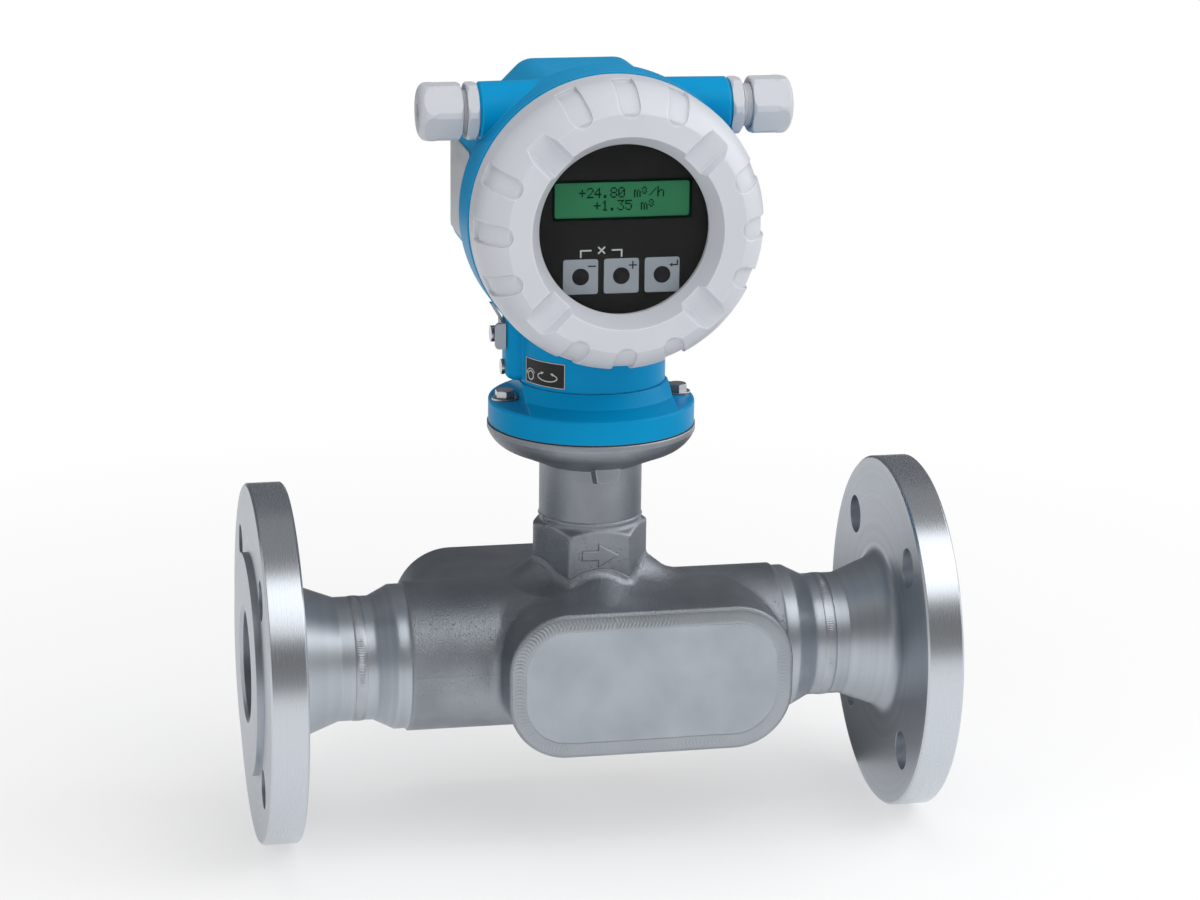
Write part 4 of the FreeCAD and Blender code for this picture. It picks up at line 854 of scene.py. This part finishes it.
def rollBall(places, heights, centres, ball):
    # lowest place of a ball's centre over each spot of the ground, worked out cell by cell
    result = numpy.empty(len(centres), numpy.float32)
    side, slack, unreached = 8.0, 0.001, -1000.0
    cells = numpy.floor(centres / side)
    for cell in numpy.unique(cells, axis=0):
        mine = (cells == cell).all(axis=1)
        close = (numpy.abs(places - (cell + 0.5) * side) < ball + side / 2).all(axis=1)
        square = ball * ball - ((centres[mine, None] - places[None, close]) ** 2).sum(axis=2)
        lift = heights[close] + numpy.sqrt(numpy.maximum(square, 0.0))
        lift[square < -slack] = unreached
        result[mine] = lift.max(axis=1)
    return result


def fillHollows(places, heights, ball, clear=0):
    # ground raised to where the ball, kept off the first spots, can't reach into it
    levels = rollBall(places, heights, places[clear:], ball)
    return numpy.maximum(heights, -rollBall(places[clear:], -levels, places, ball))


def makeCastBlend(values):
    body = nodes["sensor_body"].data
    tree = BVHTree.FromPolygons([v.co for v in body.vertices], [tuple(p.vertices) for p in body.polygons])
    loop = collarLoop(values)
    ball, axis = values["wallBall"], values["axis"]
    near = [ball * share for share in values["wallSteps"]]
    offsets = near + [ball + step for step in range(1, math.ceil(values["reach"] + values["groundBall"] - ball))]
    spots = [middle + facing * (bend + offset) for offset in offsets for middle, bend, facing in loop]
    places = numpy.array([(spot.x, spot.y) for spot in spots], numpy.float32)
    heights = []
    for spot in spots:
        start = Vector((axis + spot.x, spot.y, values["above"])) * mm
        hit = tree.ray_cast(start, Vector((0, 0, -1)))[0]
        heights.append(hit.z / mm if hit else values["below"])
    ground = numpy.array(heights, numpy.float32)
    count = len(loop)
    rows = sum(offset <= values["reach"] for offset in offsets)
    kept = count * rows
    filled = fillHollows(places, ground, values["groundBall"])
    filled = fillHollows(places, filled, ball, count * (len(near) - 1))
    share = numpy.clip((values["reach"] - numpy.repeat(offsets, count)) / values["fade"], 0.0, 1.0)
    rise = (filled - ground) * share * share * (3 - 2 * share)
    tops = numpy.where(rise > values["least"], ground + rise, ground - values["least"])[:kept]
    feet = numpy.minimum(tops, ground[:kept]) - values["skin"]
    points = [(axis + x, y, z) for level in (tops, feet) for (x, y), z in zip(places[:kept], level)]
    faces = gridFaces(rows, count, False)
    faces += [tuple(kept + corner for corner in face) for face in faces]
    for end in (0, kept - count):
        for i in range(count):
            here, there = end + i, end + (i + 1) % count
            faces.append((here, there, kept + there, kept + here))
    piece = gather("castBlend", [(points, faces)], "blendSteel")
    piece.data.shade_smooth()
    settle(piece, "sensor")
    print("cast blend fills up to", round(float(rise[:kept].max()), 2), "mm")


makeCastBlend(castBlend)

# flow arrow raised on the collar's front flat
flowArrow = {"face": -24.0, "rise": 0.8, "draft": 0.45, "headDraft": 1.7, "foot": 0.2, "brow": 0.12, "edge": 0.06,
             "tail": 151.6, "neck": 159.1, "tip": 167.6, "middle": 51.1, "shaft": 2.05, "head": 5.1}


def makeFlowArrow(values):
    def outline(y, grow):
        head, shaft = values["head"] + grow * values["headDraft"], values["shaft"] + grow
        neck, tail = values["neck"] - grow, values["tail"] - grow
        tip = neck + head * (values["tip"] - values["neck"]) / values["head"]
        flat = [(tail, -shaft), (neck, -shaft), (neck, -head), (tip, 0.0), (neck, head), (neck, shaft),
                (tail, shaft)]
        return [(x, y, values["middle"] + z) for x, z in flat]
    face, draft, edge = values["face"], values["draft"], values["edge"]
    top = face - values["rise"]
    rows = [(face + values["foot"], draft), (face, draft), (top + values["brow"], edge), (top, -edge)]
    settle(gather("flowArrow", [loftSolid([outline(*row) for row in rows])], "castSteel"), "sensor")


makeFlowArrow(flowArrow)

# grains of weld spatter at the collar's shoulder
spatter = {"axis": 159.5, "seed": 11, "count": 46, "turn": (-170.0, -143.0, -160.0), "height": (60.4, 65.4),
           "radius": 23.9, "flare": 0.75, "shoulder": 62.6,
           "grains": {"Radius": 0.00022, "Smallest": 0.6, "Largest": 1.5}}


def makeGrainTree():
    tree, given = newTree("spatterGrains", [("Radius", "Float", 0.0002), ("Smallest", "Float", 0.5),
                                            ("Largest", "Float", 1.0), ("Seed", "Int", 4)])
    ball = outOf(tree, "GeometryNodeMeshIcoSphere", {"Radius": given["Radius"], "Subdivisions": 2})
    span = {2: given["Smallest"], 3: given["Largest"], "Seed": given["Seed"]}
    size = addNode(tree, "FunctionNodeRandomValue", span, data_type="FLOAT").outputs[1]
    grains = outOf(tree, "GeometryNodeInstanceOnPoints",
                   {"Points": given["Geometry"], "Instance": ball, "Scale": size})
    return endTree(tree, given, grains, True)


def makeSpatter(values):
    chance = random.Random(values["seed"])
    points = []
    for _ in range(values["count"]):
        turn = math.radians(chance.triangular(*values["turn"]))
        height = chance.uniform(*values["height"])
        radius = values["radius"] + values["flare"] * max(0.0, values["shoulder"] - height)
        points.append((values["axis"] + radius * math.cos(turn), radius * math.sin(turn), height))
    piece = newPiece("weldSpatter", points, [], "weldSteel")
    runTree(piece, makeGrainTree(), dict(values["grains"], Seed=values["seed"], Material=materials["weldSteel"]))
    settle(piece, "sensor")


makeSpatter(spatter)
print("arrow and spatter ready")

# turning label on the pedestal: a ring with a curved arrow, and a flat turning arrow
turnLabel = {
    "axis": 159.5, "radius": 33.5, "left": -42.4, "right": -18.6, "bottom": 130.6, "top": 142.3,
    "film": 0.12, "ink": 0.17, "sink": 0.05, "margin": 0.12, "border": 0.32, "wideRuns": 30, "highRuns": 15,
    "ring": {"centre": (-38.3, 134.4), "radius": 2.0, "width": 0.55, "sweep": (0, 351, 39)},
    "bow": {"radius": 3.1, "width": 0.38, "sweep": (25, 160, 18), "head": (1.2, 1.1)},
    "turn": {"centre": (-27.9, 135.2), "wide": 5.3, "high": 1.9, "width": 0.5, "sweep": (128, 412, 54),
             "head": (1.5, 1.4)},
}


def makeTurnLabel(values):
    def onPedestal(lift):
        def place(u, v, level):
            turn = u / values["radius"] - math.pi / 2
            radius = values["radius"] + (lift if level else -values["sink"])
            return (values["axis"] + radius * math.cos(turn), radius * math.sin(turn), v)
        return place

    def border(inset):
        left, right = values["left"] + inset, values["right"] - inset
        bottom, top = values["bottom"] + inset, values["top"] - inset
        corners = [(left, top), (right, top), (right, bottom), (left, bottom)]
        runs = (values["wideRuns"], values["highRuns"]) * 2
        return [divided(*ends) for ends in zip(corners, corners[1:] + corners[:1], runs)]

    def arc(centre, wide, high, start, end, count):
        turns = [math.radians(start + (end - start) * i / count) for i in range(count + 1)]
        return [(centre[0] + wide * math.cos(turn), centre[1] + high * math.sin(turn)) for turn in turns]
    ink = onPedestal(values["ink"])
    top, _, bottom, _ = border(0.0)
    film = stripSolid(top, bottom[::-1], onPedestal(values["film"]))
    settle(gather("turnLabel", [film], "labelBlack"), "transmitter")
    outer, inner = ([spot for side in border(inset) for spot in side[:-1]]
                    for inset in (values["margin"], values["margin"] + values["border"]))
    shapes = [stripSolid(outer, inner, ink, closed=True)]
    ring, bow, turn = values["ring"], values["bow"], values["turn"]
    outer, inner = (arc(ring["centre"], radius, radius, *ring["sweep"])
                    for radius in (ring["radius"] + ring["width"] / 2, ring["radius"] - ring["width"] / 2))
    shapes.append(stripSolid(outer, inner, ink, closed=True))
    line = arc(ring["centre"], bow["radius"], bow["radius"], *bow["sweep"])
    shapes += [stroke(line, bow["width"], ink), headBeyond(line[-1], line[-2], *bow["head"], ink)]
    line = arc(turn["centre"], turn["wide"], turn["high"], *turn["sweep"])
    shapes += [stroke(line, turn["width"], ink), headBeyond(line[0], line[2], *turn["head"], ink),
               headBeyond(line[-1], line[-3], *turn["head"], ink)]
    settle(gather("turnLabelSigns", shapes, "signLight"), "transmitter")


makeTurnLabel(turnLabel)

# bare plate on the housing's left flat
nameplate = {"face": 103.5, "back": 0.1, "thick": 0.5, "edge": 0.18, "middle": (26.8, 211.8), "width": 52.0,
             "height": 43.0, "corner": 1.2, "count": 64}


def makeNameplate(values):
    front, edge = values["face"] - values["thick"], values["edge"]
    loops = []
    for x, inset in ((values["face"] + values["back"], 0.0), (front + edge, 0.0), (front, edge)):
        flat = loopAbout(values["middle"], values["width"] - 2 * inset, values["height"] - 2 * inset,
                         values["corner"] - inset, values["count"])
        loops.append([(x, *spot) for spot in flat])
    settle(gather("nameplate", [loftSolid(loops)], "nameplateSteel"), "transmitter")


makeNameplate(nameplate)
print("label and nameplate ready")

# display signs: dots in five by seven fields
dotSigns = {
    "+": "00000 00100 00100 11111 00100 00100 00000", "0": "01110 10001 10011 10101 11001 10001 01110",
    "1": "00100 01100 00100 00100 00100 00100 01110", "2": "01110 10001 00001 00010 00100 01000 11111",
    "3": "11111 00010 00100 00010 00001 10001 01110", "4": "00010 00110 01010 10010 11111 00010 00010",
    "5": "11111 10000 11110 00001 00001 10001 01110", "8": "01110 10001 10001 01110 10001 10001 01110",
    ".": "00000 00000 00000 00000 00000 01100 01100", "/": "00000 00001 00010 00100 01000 10000 00000",
    "m": "00000 00000 11010 10101 10101 10101 10101", "h": "10000 10000 10110 11001 10001 10001 10001",
    "^": "01100 10010 00100 10010 01100 00000 00000", " ": "00000 00000 00000 00000 00000 00000 00000",
}
display = {
    "face": -62.2, "dotWide": 0.60, "dotHigh": 0.655, "signPitch": 3.45,
    "dot": {"Wide": 0.55, "Thick": 0.16, "High": 0.61},
    "rows": [("+24.80 m^/h", 159.2, 226.3), ("+1.35 m^", 160.6, 220.7)],
    "border": {"middle": (159.5, 223.2), "wide": 60.0, "high": 16.2, "over": 0.8, "line": 0.4, "corner": 0.9,
               "count": 120, "front": -62.64, "back": -62.25},
}


def makeDotTree():
    tree, given = newTree("displayDots", [("Wide", "Float", 0.5), ("Thick", "Float", 0.06), ("High", "Float", 0.5)])
    size = outOf(tree, "ShaderNodeCombineXYZ", {0: given["Wide"], 1: given["Thick"], 2: given["High"]})
    dot = outOf(tree, "GeometryNodeMeshCube", {"Size": vectorOf("SCALE", {0: size, "Scale": mm})})
    dots = outOf(tree, "GeometryNodeInstanceOnPoints", {"Points": given["Geometry"], "Instance": dot})
    return endTree(tree, given, dots, False)


def makeDisplay(values):
    points = []
    for words, middle, level in values["rows"]:
        start = middle - values["signPitch"] * (len(words) - 1) / 2
        for index, sign in enumerate(words):
            for row, bits in enumerate(dotSigns[sign].split()):
                for column, bit in enumerate(bits):
                    if bit == "1":
                        x = start + index * values["signPitch"] + (column - 2) * values["dotWide"]
                        points.append((x, values["face"], level + (3 - row) * values["dotHigh"]))
    piece = newPiece("displayDots", points, [], "lcdDark")
    runTree(piece, makeDotTree(), dict(values["dot"], Material=materials["lcdDark"]))
    settle(piece, "transmitter")
    border = values["border"]

    def onPanel(u, v, level):
        return (u, border["front"] if level else border["back"], v)
    outer, inner = (loopAbout(border["middle"], border["wide"] + 2 * grow, border["high"] + 2 * grow,
                              border["corner"], border["count"]) for grow in (border["over"], -border["line"]))
    rim = stripSolid(outer, inner, onPanel, closed=True)
    settle(gather("displayFrame", [rim], "lcdDark"), "transmitter")


makeDisplay(display)

# key fields, their signs and the bracket over two of them, printed on the fascia
keyPrint = {
    "front": -62.6, "film": 0.06, "ink": 0.10, "sink": 0.03, "centres": (141.5, 159.5, 177.5), "level": 189.7,
    "side": 15.4, "corner": 1.1, "count": 96, "eye": 3.75, "sign": (5.0, 4.6), "signSize": 1.75, "signWidth": 0.62,
    "hookDrop": 0.4, "hookEnd": 0.5, "hookOverlap": 0.02, "hookTip": 0.1, "hookHead": 1.9,
    "bracketTop": 201.2, "bracketFoot": 198.1, "bracketGap": (146.2, 155.1), "bracketWidth": 0.62, "cross": 1.5,
}


def makeKeys(values):
    def onFascia(lift):
        def place(u, v, level):
            return (u, values["front"] - (lift if level else -values["sink"]), v)
        return place
    film, ink = onFascia(values["film"]), onFascia(values["ink"])
    size, width = values["signSize"], values["signWidth"]
    fields, signs = [], []
    for x in values["centres"]:
        middle = Vector((x, values["level"]))
        loop = roundedLoop(values["side"], values["side"], values["corner"], values["count"])
        outer = [tuple(middle + spot) for _, spot, _ in loop]
        inner = [tuple(middle + spot.normalized() * values["eye"]) for _, spot, _ in loop]
        fields.append(stripSolid(outer, inner, film, closed=True))
        signs.append(middle + Vector(values["sign"]))
    settle(gather("keyFields", fields, "keyGrey"), "transmitter")
    dark = [stroke([(u - size, v), (u + size, v)], width, ink) for u, v in signs[:2]]
    u, v = signs[1]
    dark += [stroke([(u, v + side * width / 2), (u, v + side * size)], width, ink) for side in (1, -1)]
    u, v = signs[2]
    low, end = v - values["hookDrop"], u - values["hookEnd"]
    tip, back = (u - size - values["hookTip"], low), (end + values["hookOverlap"], low)
    dark += [stroke([(u + size, v + size), (u + size, low), (end, low)], width, ink),
             arrowHead(tip, back, values["hookHead"], ink)]
    settle(gather("keySigns", dark, "signDark"), "transmitter")
    top, foot, half, width = (values[key] for key in ("bracketTop", "bracketFoot", "cross", "bracketWidth"))
    gapLeft, gapRight = values["bracketGap"]
    left, right = values["centres"][:2]
    u, reach = (gapLeft + gapRight) / 2, width / 2
    lines = [[(left, foot), (left, top), (gapLeft, top)], [(gapRight, top), (right, top), (right, foot)],
             [(u - half, top - half), (u + half, top + half)], [(u - half, top + half), (u - reach, top + reach)],
             [(u + reach, top - reach), (u + half, top - half)]]
    light = [stroke(line, width, film) for line in lines]
    settle(gather("keyBracket", light, "signLight"), "transmitter")


makeKeys(keyPrint)
print("display signs ready")

# screw thread on each gland sleeve
glandThread = {"shape": {"Turns": 7.4, "Radius": 9.18, "Pitch": 1.5, "Tooth": 0.42, "Level": (0.0, -0.018, 0.2555)},
               "starts": {"leftGlandThread": 86.0, "rightGlandThread": 221.7}}


def makeThreadTree():
    tree, given = newTree("glandThread", [
        ("Turns", "Float", 8.0), ("Radius", "Float", 9.2), ("Pitch", "Float", 1.5), ("Tooth", "Float", 0.4),
        ("Start", "Float", 0.0), ("Level", "Vector")])
    length = times(given["Turns"], given["Pitch"], mm)
    size = times(given["Radius"], mm)
    helix = outOf(tree, "GeometryNodeCurveSpiral", {
        "Resolution": 40, "Rotations": given["Turns"], "Start Radius": size, "End Radius": size, "Height": length})
    tooth = outOf(tree, "GeometryNodeCurvePrimitiveCircle", {"Resolution": 6, "Radius": times(given["Tooth"], mm)})
    ridge = outOf(tree, "GeometryNodeCurveToMesh", {"Curve": helix, "Profile Curve": tooth, "Fill Caps": True})
    laid = outOf(tree, "GeometryNodeTransform", {"Geometry": ridge, "Rotation": (0.0, math.pi / 2, 0.0)})
    shift = outOf(tree, "ShaderNodeCombineXYZ", {0: times(given["Start"], mm)})
    moved = vectorOf("ADD", {0: shift, 1: given["Level"]})
    put = outOf(tree, "GeometryNodeTransform", {"Geometry": laid, "Translation": moved})
    return endTree(tree, given, put, True)


def makeThreads(values):
    tree = makeThreadTree()
    for name, start in values["starts"].items():
        piece = newPiece(name, [(0, 0, 0)], [], "palePlastic")
        runTree(piece, tree, dict(values["shape"], Start=start, Material=materials["palePlastic"]))
        settle(piece, "transmitter")


makeThreads(glandThread)
print("threads ready")
